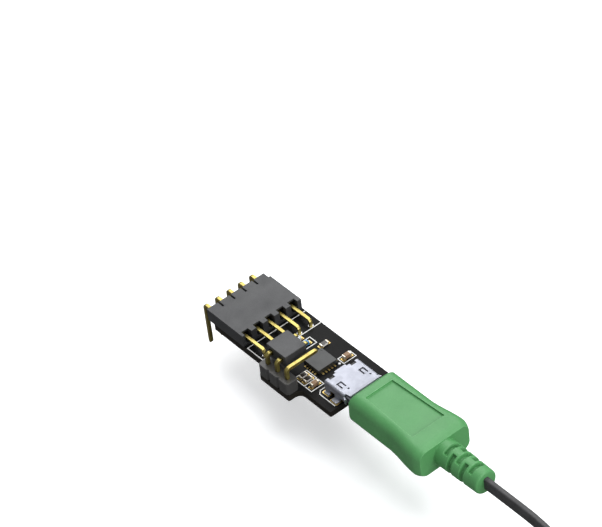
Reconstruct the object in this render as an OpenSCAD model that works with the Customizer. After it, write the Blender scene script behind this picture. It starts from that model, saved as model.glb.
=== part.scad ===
// USB programmer for a microcontroller on a solderless breadboard.
// Origin: middle of the five breadboard pins, on the breadboard's top surface.
// +X runs along the board towards the USB lead, +Y across it, +Z up. Millimetres.

/* [Breadboard pins] */
// Distance between neighbouring pins
pitch = 2.54; // [2.5:0.01:2.6]
// Number of pins in the row
pin_count = 5; // [3:1:5]
// Side of a square pin
pin_w = 0.64; // [0.5:0.01:0.66]
// Length of a pin below the breadboard's surface
pin_depth = 6; // [4:0.5:8]
// Length of a pin inside the socket
pin_reach = 6; // [4:0.5:6.5]

/* [Circuit board] */
// Gap between the breadboard's surface and the board's underside
board_lift = 0.3; // [0.1:0.05:0.6]
// Thickness of the board
board_t = 1.2; // [1:0.1:1.6]
// Board's end under the socket
board_x0 = 3.7; // [3:0.1:4.5]
// Board's end at the USB receptacle
board_x1 = 34.2; // [33.5:0.1:34.5]
// Width of the board
board_w = 12.9; // [12.7:0.1:13.5]
// How far the jumper header's ear stands out of the board's near edge
ear_out = 2.55; // [2.4:0.05:3]

/* [Socket] */
// Length of the socket's housing
socket_l = 9.7; // [9:0.1:10]
// Height of the socket's housing
socket_h = 2.54; // [2.5:0.02:2.8]
// Width of a contact's lead
lead_w = 0.6; // [0.4:0.05:0.7]

/* [Jumper] */
// Height of the jumper pins above the board
jumper_pin_h = 4.5; // [4.4:0.1:5]
// Length of the jumper pins past their bend
jumper_pin_l = 6.66; // [6:0.1:7]
// Length of the shunt along its pins
shunt_l = 4.7; // [4.5:0.1:5.5]
// Height of the shunt
shunt_h = 2.4; // [2.2:0.1:2.54]

/* [USB plug] */
// Length of the moulded grip
grip_l = 18.6; // [17:0.1:20]
// Width of the grip at its front
grip_w0 = 10; // [9:0.1:10.5]
// Width of the grip at its back
grip_w1 = 11.6; // [10.5:0.1:12]
// Height of the grip
grip_h = 6.3; // [6:0.1:7]
// Length of the strain relief
relief_l = 9.8; // [8:0.1:12]

/* [Lead] */
// Width of the flat lead
lead_flat_w = 2.4; // [2.2:0.1:2.6]
// Thickness of the flat lead
lead_flat_t = 1; // [0.8:0.1:1.1]
// Distance from the breadboard's surface down to the table
table_drop = 9.4; // [8.5:0.1:10]
// Length of the straight runs of the lead's stored hank
hank_run = 24; // [20:0.5:28]
// Radius of the hank's outermost fold
hank_r = 10.8; // [10:0.1:12]

/* [Hidden] */
$fn = 48;

eps = 0.02;
fit_gap = 0.05;

// Board levels and the plane of the socket's contacts
board_z0 = board_lift;
board_top = board_lift + board_t;
pin_z = board_top + socket_h / 2;
pad_t = 0.04;
part_z = board_top + pad_t;
tail_z = board_z0 - 1.1;
solder_h = 0.6;

// Plan of the board
board_y1 = 6.9;
board_y0 = board_y1 - board_w;
ear_x0 = 18.7;
ear_x1 = 26.4;
ear_fillet = 1.2;
lead_hole_r = 0.45;
header_hole_r = 0.5;

// Socket
socket_x0 = 2.2;
socket_x1 = socket_x0 + socket_l;
socket_y0 = -6.35;
socket_y1 = 6.25;
rail_x0 = 3.6;
rail_out = 0.4;
cell_w = 1.7;
lead_x = 16;
lead_t = 0.4;

// Jumper header and shunt
header_y = -7.33;
header_x0 = 20;
header_n = 3;
header_h = 2.54;
jumper_z = board_top + jumper_pin_h;
shunt_x = header_x0 + pitch / 2;
shunt_w = 2 * pitch - 0.08;
shunt_y1 = -1.7;
shunt_y0 = shunt_y1 - shunt_l;

// Chip
chip_x = 24.2;
chip_y = 0.35;
chip_side = 4;
chip_h = 0.9;

// USB centre line, the receptacle and the plug's shell
usb_y = 0.35;
recept_x0 = 29.9;
recept_x1 = 34.9;
recept_in_w = 7;
recept_in_h = 1.95;
recept_wall = 0.25;
recept_z0 = board_top + 0.1;
usb_z = recept_z0 + recept_wall + recept_in_h / 2;
plug_w = 6.85;
plug_h = 1.8;
plug_wall = 0.2;
plug_x0 = 30.75;
tongue_x1 = 34.6;
latch_x1 = 37;
contact_pitch = 0.65;
contact_w = 0.25;

// Plug's grip and strain relief
grip_x0 = 37.15;
grip_x1 = grip_x0 + grip_l;
grip_z = 3.3;
grip_r = 1.8;
relief_x1 = grip_x1 + relief_l;
mould_x0 = 41;
mould_x1 = 49;
relief_r0 = 2.7;
relief_r1 = 2.2;

// Lead, its hank of nine turns in three layers, and the host plug that lies on the hank
table_z = -table_drop;
hank_x0 = 100;
hank_x1 = hank_x0 + hank_run;
lead_land_y = 3.35;
hank_y = lead_land_y - hank_r;
hank_step = 1.2;
hank_turns = 3;
hank_layers = 3;
hank_lift = 0.4;
layer_h = lead_flat_w + 0.05;
hank_z0 = table_z + hank_lift;
hank_top = hank_z0 + hank_layers * layer_h;
layer1_z = hank_z0 + lead_flat_w / 2;
layer3_z = layer1_z + 2 * layer_h;
hank_r_out = hank_r + hank_step / 2;
hank_r_in = hank_r - hank_turns * hank_step - hank_step / 2;
tail_r = 7.5;
host_w = 16;
host_h = 8;
host_x = hank_x0 + 2.5;
host_y = hank_y + tail_r;
host_z = hank_top + host_h / 2;
host_relief_l = 7;
host_grip_l = 20;
host_shell_l = 12;
host_shell_w = 12;
host_shell_h = 4.5;
host_wall = 0.3;

// Places along the host plug, counted back from where the lead enters it
host_grip_x1 = -host_relief_l;
host_grip_x0 = host_grip_x1 - host_grip_l;
host_tip = host_grip_x0 - host_shell_l;
host_mould_x0 = host_grip_x0 + 4;
host_mould_x1 = host_grip_x0 + 14;

// Route of the lead between the plug and the hank
lead_start = mould_x1 - 1;
LEAD_ROUTE = [
    [lead_start, usb_y, grip_z], [57, usb_y, grip_z], [relief_x1, usb_y, grip_z],
    [68, usb_y, grip_z], [71, usb_y, grip_z], [74, usb_y, 3.28], [76.5, usb_y, 3.2],
    [78.5, 0.4, 2.85], [80.5, 0.55, 2.1], [82.5, 0.75, 0.9], [84.5, 1.05, -0.65],
    [86.5, 1.4, -2.4], [88.5, 1.8, -4.1], [90.5, 2.25, -5.55], [92.5, 2.65, -6.65],
    [94.5, 3, -7.35], [96.5, 3.25, -7.7],
    [98.5, lead_land_y, layer1_z], [hank_x0 + 4, lead_land_y, layer1_z]
];

// Route of the lead's last fold, which climbs from the hank into the host plug
fold_steps = 12;
TAIL_ROUTE = concat(
    [[hank_x0 + 4, hank_y - tail_r, layer3_z]],
    [for (i = [0:fold_steps])
        let (t = i / fold_steps, at = -90 - 180 * t, rise = t * t * (3 - 2 * t))
        [hank_x0 + tail_r * cos(at), hank_y + tail_r * sin(at), layer3_z + (host_z - layer3_z) * rise]],
    [[host_x, host_y, host_z], [host_x + 8, host_y, host_z],
        [host_x - host_mould_x1 + 1, host_y, host_z]]
);

// ---------- helpers ----------

// Arc that rounds the corner b between its neighbours a and c with radius r
function corner_arc(a, b, c, r, n = 6) =
    let (
        u = (a - b) / norm(a - b),
        v = (c - b) / norm(c - b),
        half = acos(max(-1, min(1, u * v))) / 2,
        mid = b + (u + v) / norm(u + v) * r / sin(half),
        from = b + u * r / tan(half) - mid,
        to = b + v * r / tan(half) - mid,
        a0 = atan2(from[1], from[0]),
        turn = atan2(to[1], to[0]) - a0,
        sweep = turn > 180 ? turn - 360 : turn < -180 ? turn + 360 : turn
    )
    [for (i = [0:n]) mid + r * [cos(a0 + sweep * i / n), sin(a0 + sweep * i / n)]];

// Outline through corners [x, y, radius]
function rounded(corners) =
    let (m = len(corners))
    [for (i = [0:m - 1])
        let (
            a = corners[(i + m - 1) % m],
            b = corners[i],
            c = corners[(i + 1) % m]
        )
        each b[2] > 0
            ? corner_arc([a[0], a[1]], [b[0], b[1]], [c[0], c[1]], b[2])
            : [[b[0], b[1]]]];

// Corners of a w by h rectangle about the origin, all with radius r
function box_corners(w, h, r) = [
    [-w / 2, -h / 2, r], [w / 2, -h / 2, r], [w / 2, h / 2, r], [-w / 2, h / 2, r]
];

// Extrudes an outline drawn in (Y, Z) along +X from x0 to x1
module along_x(x0, x1) {
    translate([x0, 0, 0])
        rotate([90, 0, 90])
            linear_extrude(height = x1 - x0)
                children();
}

// Extrudes an outline drawn in (X, Z) across Y, w wide and centred on y
module across_y(y, w) {
    translate([0, y + w / 2, 0])
        rotate([90, 0, 0])
            linear_extrude(height = w)
                children();
}

// Box given by its two far corners
module block(from, to) {
    translate(from)
        cube(to - from);
}

// A round bar along +X
module bar_x(x0, x1, r) {
    translate([x0, 0, 0])
        rotate([0, 90, 0])
            cylinder(h = x1 - x0, r = r);
}

// Side view of a pin that stands up at 0 and turns along +X at height h
function bent_pin(w, low, h, reach, bevel = 0.16) = rounded([
    [-w / 2 + bevel, low, 0], [w / 2 - bevel, low, 0], [w / 2, low + 2.5 * bevel, 0],
    [w / 2, h - w / 2, 0.25],
    [reach - 2.5 * bevel, h - w / 2, 0], [reach, h - w / 2 + bevel, 0],
    [reach, h + w / 2 - bevel, 0], [reach - 2.5 * bevel, h + w / 2, 0],
    [-w / 2, h + w / 2, 0.25 + w], [-w / 2, low + 2.5 * bevel, 0]
]);

// Places a child at each of n places, a pitch apart, centred across Y
module row_y(n, step) {
    for (i = [0:n - 1])
        translate([0, (i - (n - 1) / 2) * step, 0])
            children();
}

// Solder that fills a hole of the board and stands in a cone under it
module solder_joint(hole_r) {
    translate([0, 0, board_z0])
        cylinder(h = board_t, r = hole_r);
    translate([0, 0, board_z0 - solder_h])
        cylinder(h = solder_h, r1 = 0.42, r2 = 0.75);
}

// USB section in (Y, Z): wide at the top, with cut corners at the bottom
function usb_section(w, h, cut, r) = rounded([
    [-w / 2 + cut, -h / 2, r], [w / 2 - cut, -h / 2, r], [w / 2, -h / 2 + cut * 0.9, r],
    [w / 2, h / 2, r], [-w / 2, h / 2, r], [-w / 2, -h / 2 + cut * 0.9, r]
]);

// ---------- breadboard pins ----------

module breadboard_pins() {
    color("goldenrod")
        row_y(pin_count, pitch)
            across_y(0, pin_w)
                polygon(bent_pin(pin_w, -pin_depth, pin_z, socket_x0 + pin_reach));
}

// ---------- circuit board ----------

module circuit_board() {
    outline = rounded([
        [board_x0, socket_y0, 0.2], [ear_x0, socket_y0, 0], [ear_x0, board_y0 - ear_out, 0.3],
        [ear_x1, board_y0 - ear_out, 0.3], [ear_x1, board_y0, ear_fillet],
        [board_x1, board_y0, 0.3], [board_x1, board_y1, 0.3], [board_x0, board_y1, 0.2]
    ]);
    color("#1d1d1f")
        difference() {
            translate([0, 0, board_z0])
                linear_extrude(height = board_t)
                    polygon(outline);
            translate([lead_x, 0, board_z0 - 1])
                row_y(pin_count, pitch)
                    cylinder(h = board_t + 2, r = lead_hole_r);
            for (i = [0:header_n - 1])
                translate([header_x0 + i * pitch, header_y, board_z0 - 1])
                    cylinder(h = board_t + 2, r = header_hole_r);
        }
}

// One printed line between two points of the board
module ink(a, b, w = 0.16) {
    d = b - a;
    translate([a[0], a[1], board_top])
        rotate([0, 0, atan2(d[1], d[0])])
            translate([-w / 2, -w / 2, 0])
                cube([norm(d) + w, w, pad_t * 0.8]);
}

// Open printed frame through a list of points
module ink_path(points) {
    for (i = [0:len(points) - 2])
        ink(points[i], points[i + 1]);
}

// Places of the small parts: [x, y, angle]
CAPS = [[26.3, 4.4, 90], [27.5, -3.75, 90]];
RESISTORS = [[21.2, 3.65, 90], [24.55, -3.75, 90], [25.75, -3.75, 90]];
LED_CLEAR = [17.15, 1.2, 90];
LED_BLUE = [18.95, 1.5, 90];
cap_l = 1.6;
cap_w = 0.8;
cap_h = 0.8;
res_l = 1.6;
res_w = 0.8;
res_h = 0.45;
led_l = 1.6;
led_w = 0.8;
led_h = 0.6;

module silkscreen() {
    color("white") {
        ink_path([[16.6, board_y1 - 0.2], [16.6, -6.05], [12.5, -6.05], [12.5, board_y1 - 0.2]]);
        ink_path([[18, 1.4], [18, 3.15], [19.85, 3.15], [19.85, 0.9]]);
        ink_path([[25.5, 5.75], [25.5, 3.05], [27.1, 3.05], [27.1, 5.75], [25.5, 5.75]]);
        ink_path([[26.75, -2.4], [28.3, -2.4], [28.3, -5.1], [26.75, -5.1]]);
        ink_path([[23.8, -5.1], [26.4, -5.1], [26.4, -2.4], [23.8, -2.4], [23.8, -5.1]]);
        ink_path([[29.1, -2.55], [29.1, -3.85], [29.75, -4.5], [33.6, -4.5]]);
        ink_path([[29.1, 4.6], [29.75, 5.2], [33.6, 5.2]]);
        translate([26.55, 2.55, board_top])
            cylinder(h = pad_t * 0.8, r = 0.22);
    }
}

// Copper lands under the parts that are soldered to the board's face
module solder_pads() {
    color("#a8862c")
        for (p = concat(CAPS, RESISTORS, [LED_CLEAR, LED_BLUE]))
            translate([p[0], p[1], board_top])
                rotate([0, 0, p[2]])
                    for (s = [-1, 1])
                        translate([s * 0.75 - 0.35, -0.45, 0])
                            cube([0.7, 0.9, pad_t]);
    color("#a8862c")
        for (s = [-1, 1]) {
            block([29.6, usb_y + s * 3.55 - 0.75, board_top], [31.3, usb_y + s * 3.55 + 0.75, part_z]);
            block([32, usb_y + s * 3.85 - 0.8, board_top], [33.8, usb_y + s * 3.85 + 0.8, part_z]);
        }
    color("#a8862c")
        translate([28.6, usb_y - 2 * contact_pitch, board_top])
            for (i = [0:4])
                translate([0, i * contact_pitch - 0.18, 0])
                    cube([0.9, 0.36, pad_t]);
}

// ---------- socket ----------

module socket_housing() {
    color("#6c7074")
        difference() {
            union() {
                block([socket_x0, socket_y0, board_top], [socket_x1, socket_y1, board_top + socket_h]);
                block([rail_x0, socket_y1 - 1, board_top], [socket_x1, socket_y1 + rail_out,
                    board_top + socket_h]);
            }
            // Mouths, contact cells and the slots that the leads leave by
            row_y(pin_count, pitch) {
                block([socket_x0 - 1, -0.45, pin_z - 0.45], [socket_x0 + 1, 0.45, pin_z + 0.45]);
                block([socket_x0 + 0.8, -cell_w / 2, pin_z - 0.85],
                    [socket_x1 - 0.9, cell_w / 2, pin_z + 0.85]);
                block([socket_x1 - 1, -lead_w / 2 - 0.4, pin_z - 0.7],
                    [socket_x1 + 1, lead_w / 2 + 0.4, board_top + socket_h + 1]);
                translate([socket_x0 + 0.25, 0, pin_z])
                    rotate([0, -90, 0])
                        rotate([0, 0, 45])
                            cylinder(h = 0.4, r1 = 0.45 * sqrt(2), r2 = 0.85 * sqrt(2), $fn = 4);
            }
            // Short slots between the mouths, on top and underneath
            for (i = [0:pin_count - 2])
                translate([socket_x0 - 1, (i - (pin_count - 2) / 2) * pitch - 0.16, 0]) {
                    block([0, 0, board_top + socket_h - 0.7], [2.45, 0.32, board_top + socket_h + 1]);
                    block([0, 0, board_top - 1], [2.45, 0.32, board_top + 0.5]);
                }
        }
}

// One contact: two spring arms, a waist and a lead bent down into the board
module socket_contact() {
    arm_t = 0.22;
    arm_y = pin_w / 2 + fit_gap;
    for (s = [-1, 1])
        mirror([0, s < 0 ? 1 : 0, 0])
            block([socket_x0 + 1.1, arm_y, pin_z - 0.4], [9.4, arm_y + arm_t, pin_z + 0.4]);
    block([9, -cell_w / 2, pin_z - 0.4], [9.8, cell_w / 2, pin_z + 0.4]);
    across_y(0, lead_w)
        polygon(rounded([
            [9.5, pin_z - lead_t / 2, 0], [lead_x - lead_t / 2, pin_z - lead_t / 2, 0.3],
            [lead_x - lead_t / 2, tail_z, 0], [lead_x + lead_t / 2, tail_z, 0],
            [lead_x + lead_t / 2, pin_z + lead_t / 2, 0.3 + lead_t], [9.5, pin_z + lead_t / 2, 0]
        ]));
}

module socket_contacts() {
    color("gold")
        row_y(pin_count, pitch)
            socket_contact();
}

module socket_solder() {
    color("silver")
        row_y(pin_count, pitch)
            difference() {
                translate([lead_x, 0, 0])
                    solder_joint(lead_hole_r);
                block([lead_x - lead_t / 2, -lead_w / 2, tail_z - 1],
                    [lead_x + lead_t / 2, lead_w / 2, board_top + 1]);
            }
}

// ---------- jumper header ----------

module header_base() {
    x0 = header_x0 - pitch / 2;
    notch = 0.35;
    y0 = header_y - header_h / 2;
    y1 = header_y + header_h / 2;
    near = [for (i = [0:header_n - 1]) each [
        [x0 + i * pitch, y0 + notch], [x0 + i * pitch + notch, y0],
        [x0 + (i + 1) * pitch - notch, y0], [x0 + (i + 1) * pitch, y0 + notch]
    ]];
    far = [for (i = [header_n - 1:-1:0]) each [
        [x0 + (i + 1) * pitch, y1 - notch], [x0 + (i + 1) * pitch - notch, y1],
        [x0 + i * pitch + notch, y1], [x0 + i * pitch, y1 - notch]
    ]];
    outline = concat(near, far);
    kept = [for (i = [0:len(outline) - 1])
        if (norm(outline[i] - outline[(i + 1) % len(outline)]) > 0.01) outline[i]];
    color("#2a2a2c")
        difference() {
            translate([0, 0, board_top])
                linear_extrude(height = header_h)
                    polygon(kept);
            for (i = [0:header_n - 1])
                translate([header_x0 + i * pitch, header_y, board_top - 1])
                    block([-pin_w / 2, -pin_w / 2, 0], [pin_w / 2, pin_w / 2, header_h + 2]);
        }
}

module header_pins() {
    color("goldenrod")
        for (i = [0:header_n - 1])
            translate([header_x0 + i * pitch, header_y, 0])
                rotate([0, 0, 90])
                    across_y(0, pin_w)
                        polygon(bent_pin(pin_w, tail_z, jumper_z, jumper_pin_l));
}

module header_solder() {
    color("silver")
        for (i = [0:header_n - 1])
            translate([header_x0 + i * pitch, header_y, 0])
                difference() {
                    solder_joint(header_hole_r);
                    block([-pin_w / 2, -pin_w / 2, tail_z - 1], [pin_w / 2, pin_w / 2, board_top + 1]);
                }
}

// ---------- parts on the board's face ----------

module bridge_chip() {
    color("#62666a")
        translate([chip_x, chip_y, part_z])
            difference() {
                translate([-chip_side / 2, -chip_side / 2, 0])
                    cube([chip_side, chip_side, chip_h]);
                translate([-chip_side / 2 + 0.6, chip_side / 2 - 0.6, chip_h - 0.05])
                    cylinder(h = 1, r = 0.2);
            }
}

module chip_terminals() {
    color("#b08d3a")
        translate([chip_x, chip_y, board_top])
            for (side = [0:3])
                rotate([0, 0, side * 90])
                    for (i = [-2:2])
                        translate([chip_side / 2 - 0.3, i * 0.65 - 0.15, 0])
                            cube([0.75, 0.3, pad_t]);
}

// Two-ended chip part: a body between two metal ends
module chip_body(p, l, w, h, end) {
    translate([p[0], p[1], part_z])
        rotate([0, 0, p[2]])
            translate([-l / 2 + end, -w / 2, 0])
                cube([l - 2 * end, w, h]);
}

module chip_ends(p, l, w, h, end) {
    translate([p[0], p[1], part_z])
        rotate([0, 0, p[2]])
            for (s = [-1, 1])
                translate([s * (l - end) / 2 - end / 2, -w / 2, 0])
                    cube([end, w, h]);
}

// LED: a plate with the lens block on it
module led_part(p) {
    chip_body(p, led_l, led_w, 0.25, 0.25);
    translate([p[0], p[1], part_z + 0.25])
        rotate([0, 0, p[2]])
            linear_extrude(height = led_h - 0.25)
                polygon(rounded(box_corners(led_l - 0.5, led_w - 0.04, 0.1)));
}

module led_clear() {
    color("#dfe6ea")
        led_part(LED_CLEAR);
}

module led_blue() {
    color("#2f7fc4")
        led_part(LED_BLUE);
}

module led_terminals() {
    color("gold")
        for (p = [LED_CLEAR, LED_BLUE])
            chip_ends(p, led_l, led_w, 0.28, 0.25);
}

module capacitor_bodies() {
    color("#a07c56")
        for (p = CAPS)
            chip_body(p, cap_l, cap_w, cap_h, 0.32);
}

module capacitor_ends() {
    color("#d8d4cc")
        for (p = CAPS)
            chip_ends(p, cap_l, cap_w, cap_h, 0.32);
}

module resistor_bodies() {
    color("#e4e0d8")
        for (p = RESISTORS)
            chip_body(p, res_l, res_w, res_h - 0.06, 0.28);
}

// Dark glaze on top of each resistor
module resistor_coats() {
    color("#2b241f")
        for (p = RESISTORS)
            translate([0, 0, res_h - 0.06])
                chip_body(p, res_l, res_w, 0.05, 0.28);
}

module resistor_ends() {
    color("#c8b48c")
        for (p = RESISTORS)
            chip_ends(p, res_l, res_w, res_h, 0.28);
}

// ---------- USB receptacle ----------

module receptacle_shell() {
    wall = recept_wall;
    out_w = recept_in_w + 2 * wall;
    out_h = recept_in_h + 2 * wall;
    top = usb_z + out_h / 2;
    low = usb_z - out_h / 2;
    color("#c9ccd4")
        difference() {
            union() {
                along_x(recept_x0, recept_x1)
                    translate([usb_y, usb_z])
                        polygon(usb_section(out_w, out_h, 1, 0.45));
                // Flared lips at the mouth
                across_y(usb_y, out_w - 1)
                    polygon([[recept_x1 - 0.1, top - wall], [recept_x1 - 0.1, top],
                        [recept_x1 + 1.15, top + 0.3], [recept_x1 + 1.25, top + 0.08]]);
                across_y(usb_y, out_w - 2.4)
                    polygon([[recept_x1 - 0.1, low + wall], [recept_x1 - 0.1, low],
                        [recept_x1 + 0.5, low - 0.25], [recept_x1 + 0.6, low - 0.05]]);
                for (s = [-1, 1])
                    translate([0, usb_y, 0])
                        mirror([0, s < 0 ? 1 : 0, 0])
                            translate([0, 0, usb_z - 0.35])
                                linear_extrude(height = 1.1)
                                    polygon([[recept_x1 - 0.1, out_w / 2 - wall],
                                        [recept_x1 - 0.1, out_w / 2],
                                        [recept_x1 + 0.55, out_w / 2 + 0.3],
                                        [recept_x1 + 0.65, out_w / 2 + 0.1]]);
                // Tail of the top plate and the four feet soldered to the board
                block([recept_x0 - 0.45, usb_y - 1.2, top - wall], [recept_x0 + 0.1, usb_y + 1.2, top]);
                for (s = [-1, 1])
                    translate([0, usb_y, 0])
                        mirror([0, s < 0 ? 1 : 0, 0]) {
                            block([29.95, out_w / 2 - wall, part_z], [31.2, out_w / 2, usb_z + 0.2]);
                            block([29.95, out_w / 2 - wall, part_z],
                                [31.2, out_w / 2 + 0.35, part_z + wall]);
                            block([32.3, out_w / 2 - wall, part_z], [33.6, out_w / 2, usb_z + 0.2]);
                            block([32.3, out_w / 2 - wall, part_z],
                                [33.6, out_w / 2 + 0.75, part_z + wall]);
                        }
            }
            // Hollow for the plug
            along_x(recept_x0 - 0.01, recept_x1 + 2)
                translate([usb_y, usb_z])
                    polygon(usb_section(recept_in_w, recept_in_h, 0.9, 0.25));
            // Windows round the two latch springs, and the cut-outs at the back corners
            for (s = [-1, 1])
                translate([0, usb_y + s * 2.4, top - wall - 0.1]) {
                    block([32, -0.55, 0], [33.5, -0.24, wall + 0.2]);
                    block([32, 0.24, 0], [33.5, 0.55, wall + 0.2]);
                    block([32, -0.55, 0], [32.35, 0.55, wall + 0.2]);
                    translate([34.2, 0.35, 0])
                        cylinder(h = wall + 0.2, r = 0.19);
                }
            for (s = [-1, 1])
                translate([0, usb_y + s * 2.35, top - wall - 0.1])
                    block([recept_x0 - 0.5, -0.55, 0], [recept_x0 + 0.6, 0.55, wall + 0.2]);
        }
}

module receptacle_tongue() {
    in_w = recept_in_w - 2 * eps;
    in_h = recept_in_h - 2 * eps;
    color("#202022")
        difference() {
            union() {
                along_x(recept_x0, recept_x0 + 0.7)
                    translate([usb_y, usb_z])
                        polygon(usb_section(in_w, in_h, 0.9, 0.25));
                block([recept_x0 + 0.5, usb_y - 1.9, usb_z - 0.05],
                    [tongue_x1, usb_y + 1.9, usb_z + 0.55]);
            }
            translate([0, usb_y, 0])
                row_y(5, contact_pitch)
                    block([recept_x0 - 1, -contact_w / 2, usb_z - 0.13],
                        [tongue_x1 - 0.2, contact_w / 2, usb_z - 0.05]);
        }
}

// Thin springs under the tongue, with tails that reach the pads behind the shell
module receptacle_contacts() {
    color("gold")
        translate([0, usb_y, 0])
            row_y(5, contact_pitch)
                across_y(0, contact_w)
                    polygon([
                        [28.75, part_z], [29.6, part_z], [29.6, usb_z - 0.13],
                        [tongue_x1 - 0.2, usb_z - 0.13], [tongue_x1 - 0.2, usb_z - 0.05],
                        [29.48, usb_z - 0.05], [29.48, part_z + 0.12], [28.75, part_z + 0.12]
                    ]);
}

// ---------- jumper shunt ----------

module jumper_housing() {
    z0 = jumper_z - shunt_h / 2;
    color("#6a6c70")
        difference() {
            translate([shunt_x, 0, z0])
                linear_extrude(height = shunt_h)
                    polygon(rounded([
                        [-shunt_w / 2, shunt_y0, 0.25], [shunt_w / 2, shunt_y0, 0.25],
                        [shunt_w / 2, shunt_y1, 0.25], [-shunt_w / 2, shunt_y1, 0.25]
                    ]));
            block([shunt_x - 2, shunt_y0 + 0.4, jumper_z - 0.7], [shunt_x + 2, shunt_y1 - 0.4,
                jumper_z + 0.75]);
            for (s = [-1, 1])
                translate([shunt_x + s * pitch / 2, 0, jumper_z])
                    block([-0.45, shunt_y0 - 1, -0.45], [0.45, shunt_y1 + 1, 0.45]);
        }
}

// One strip of spring metal that clasps both pins
module jumper_clip() {
    y0 = shunt_y0 + 0.4;
    y1 = shunt_y1 - 0.4;
    gap = pin_w / 2 + fit_gap;
    color("#c2a24a") {
        block([shunt_x - 1.95, y0, jumper_z + gap], [shunt_x + 1.95, y1, jumper_z + gap + 0.2]);
        for (s = [-1, 1])
            for (side = [-1, 1])
                translate([shunt_x + s * pitch / 2, 0, jumper_z])
                    mirror([side < 0 ? 1 : 0, 0, 0])
                        block([gap, y0, -0.5], [gap + 0.2, y1, gap + 0.1]);
    }
}

// ---------- USB plug ----------

// Thin slice of the grip: a rounded rectangle at x, w wide and h high
module grip_slice(x, w, h, r) {
    along_x(x, x + 0.02)
        translate([usb_y, grip_z])
            polygon(rounded(box_corners(w, h, r)));
}

// Slices of the grip from front to back: [x, width, height, corner radius]
GRIP = [
    [grip_x0, grip_w0 - 1.1, grip_h - 1.1, grip_r - 0.5],
    [grip_x0 + 0.55, grip_w0, grip_h, grip_r],
    [grip_x0 + 11.4, grip_w0 + 0.05, grip_h, grip_r],
    [grip_x0 + 14.4, (grip_w0 + grip_w1) / 2 - 0.2, grip_h, grip_r],
    [grip_x1 - 1.4, grip_w1, grip_h, grip_r],
    [grip_x1 - 0.4, grip_w1 - 0.7, grip_h - 0.6, grip_r],
    [grip_x1 - 0.02, grip_w1 - 2, grip_h - 1.8, grip_r - 0.4]
];

module plug_grip() {
    color("#86c590")
        difference() {
            for (i = [0:len(GRIP) - 2])
                hull()
                    for (g = [GRIP[i], GRIP[i + 1]])
                        grip_slice(g[0], g[1], g[2], g[3]);
            // Sunk panel on the top
            translate([0, usb_y, grip_z + grip_h / 2 - 0.28])
                linear_extrude(height = 1)
                    polygon(rounded([
                        [39, -2.9, 0.2], [52, -3.5, 0.2], [52, 3.5, 0.2], [39, 2.9, 0.2]
                    ]));
            // Room for the metal shell, the inner mould and the lead
            along_x(grip_x0 - 1, mould_x0 + 0.01)
                translate([usb_y, usb_z])
                    polygon(usb_section(plug_w, plug_h, 0.85, 0.3));
            block([mould_x0, usb_y - 4.2, grip_z - 2], [mould_x1, usb_y + 4.2, grip_z + 2]);
            along_x(mould_x1 - 1, grip_x1 + 1)
                translate([usb_y, grip_z])
                    polygon(lead_outline());
        }
}

module plug_strain_relief() {
    slot = 0.75;
    tops = [1.9, 4.7, 7.5];
    sides = [3.3, 6.1];
    color("#7dbd87")
        translate([grip_x1, usb_y, grip_z])
            difference() {
                rotate([0, 90, 0])
                    rotate_extrude()
                        polygon([
                            [0, 0], [relief_r0 + 0.25, 0], [relief_r0, 0.7],
                            [relief_r1 + 0.1, relief_l - 1.2], [relief_r1 + 0.1, relief_l - 0.3],
                            [relief_r1 - 0.2, relief_l], [0, relief_l]
                        ]);
                for (x = tops)
                    for (s = [0, 1])
                        mirror([0, 0, s])
                            block([x, -5, 1.55], [x + slot, 5, 5]);
                for (x = sides)
                    for (s = [0, 1])
                        mirror([0, s, 0])
                            block([x, 1.05, -5], [x + slot, 5, 5]);
                along_x(-1, relief_l + 1)
                    polygon(lead_outline());
            }
}

// Hard block that holds the back of the shell and the ends of the wires
module plug_inner_mould() {
    color("#e8e6da")
        difference() {
            block([mould_x0, usb_y - 4.2, grip_z - 2], [mould_x1, usb_y + 4.2, grip_z + 2]);
            along_x(mould_x0 - 1, mould_x0 + 1.5)
                translate([usb_y, usb_z])
                    polygon(usb_section(plug_w, plug_h, 0.85, 0.3));
            // Socket for the lead's end, which stops short of this block's back
            along_x(mould_x1 - 1, mould_x1 + 1)
                translate([usb_y, grip_z])
                    polygon(lead_outline());
        }
}

module plug_shell() {
    color("#b9bcc2")
        difference() {
            along_x(plug_x0, mould_x0 + 1.5)
                translate([usb_y, usb_z])
                    polygon(usb_section(plug_w, plug_h, 0.85, 0.3));
            along_x(plug_x0 - 1, mould_x0 + 2)
                translate([usb_y, usb_z])
                    polygon(usb_section(plug_w - 2 * plug_wall, plug_h - 2 * plug_wall, 0.75, 0.15));
            // Openings that the latch hooks stand up through
            for (s = [-1, 1])
                block([32, usb_y + s * 2.4 - 0.25, usb_z + plug_h / 2 - plug_wall - 0.1],
                    [33.5, usb_y + s * 2.4 + 0.25, usb_z + plug_h]);
        }
}

module plug_insulator() {
    in_w = plug_w - 2 * plug_wall - 2 * eps;
    in_h = plug_h - 2 * plug_wall - 2 * eps;
    color("#1e1e20")
        difference() {
            along_x(plug_x0 + 0.15, mould_x0 + 1.5)
                translate([usb_y, usb_z])
                    polygon(usb_section(in_w, in_h, 0.8, 0.2));
            // Slot that takes the receptacle's tongue
            block([plug_x0 - 1, usb_y - 2.1, usb_z - 0.27], [tongue_x1 + 0.2, usb_y + 2.1, usb_z + 1]);
            // Grooves of the latch springs
            for (s = [-1, 1])
                block([31.5, usb_y + s * 2.4 - 0.35, usb_z + 0.1],
                    [latch_x1, usb_y + s * 2.4 + 0.35, usb_z + 1]);
        }
}

module plug_contacts() {
    color("gold")
        translate([0, usb_y, 0])
            row_y(5, contact_pitch)
                block([plug_x0 + 0.5, -0.12, usb_z - 0.27], [tongue_x1, 0.12, usb_z - 0.19]);
}

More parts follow.
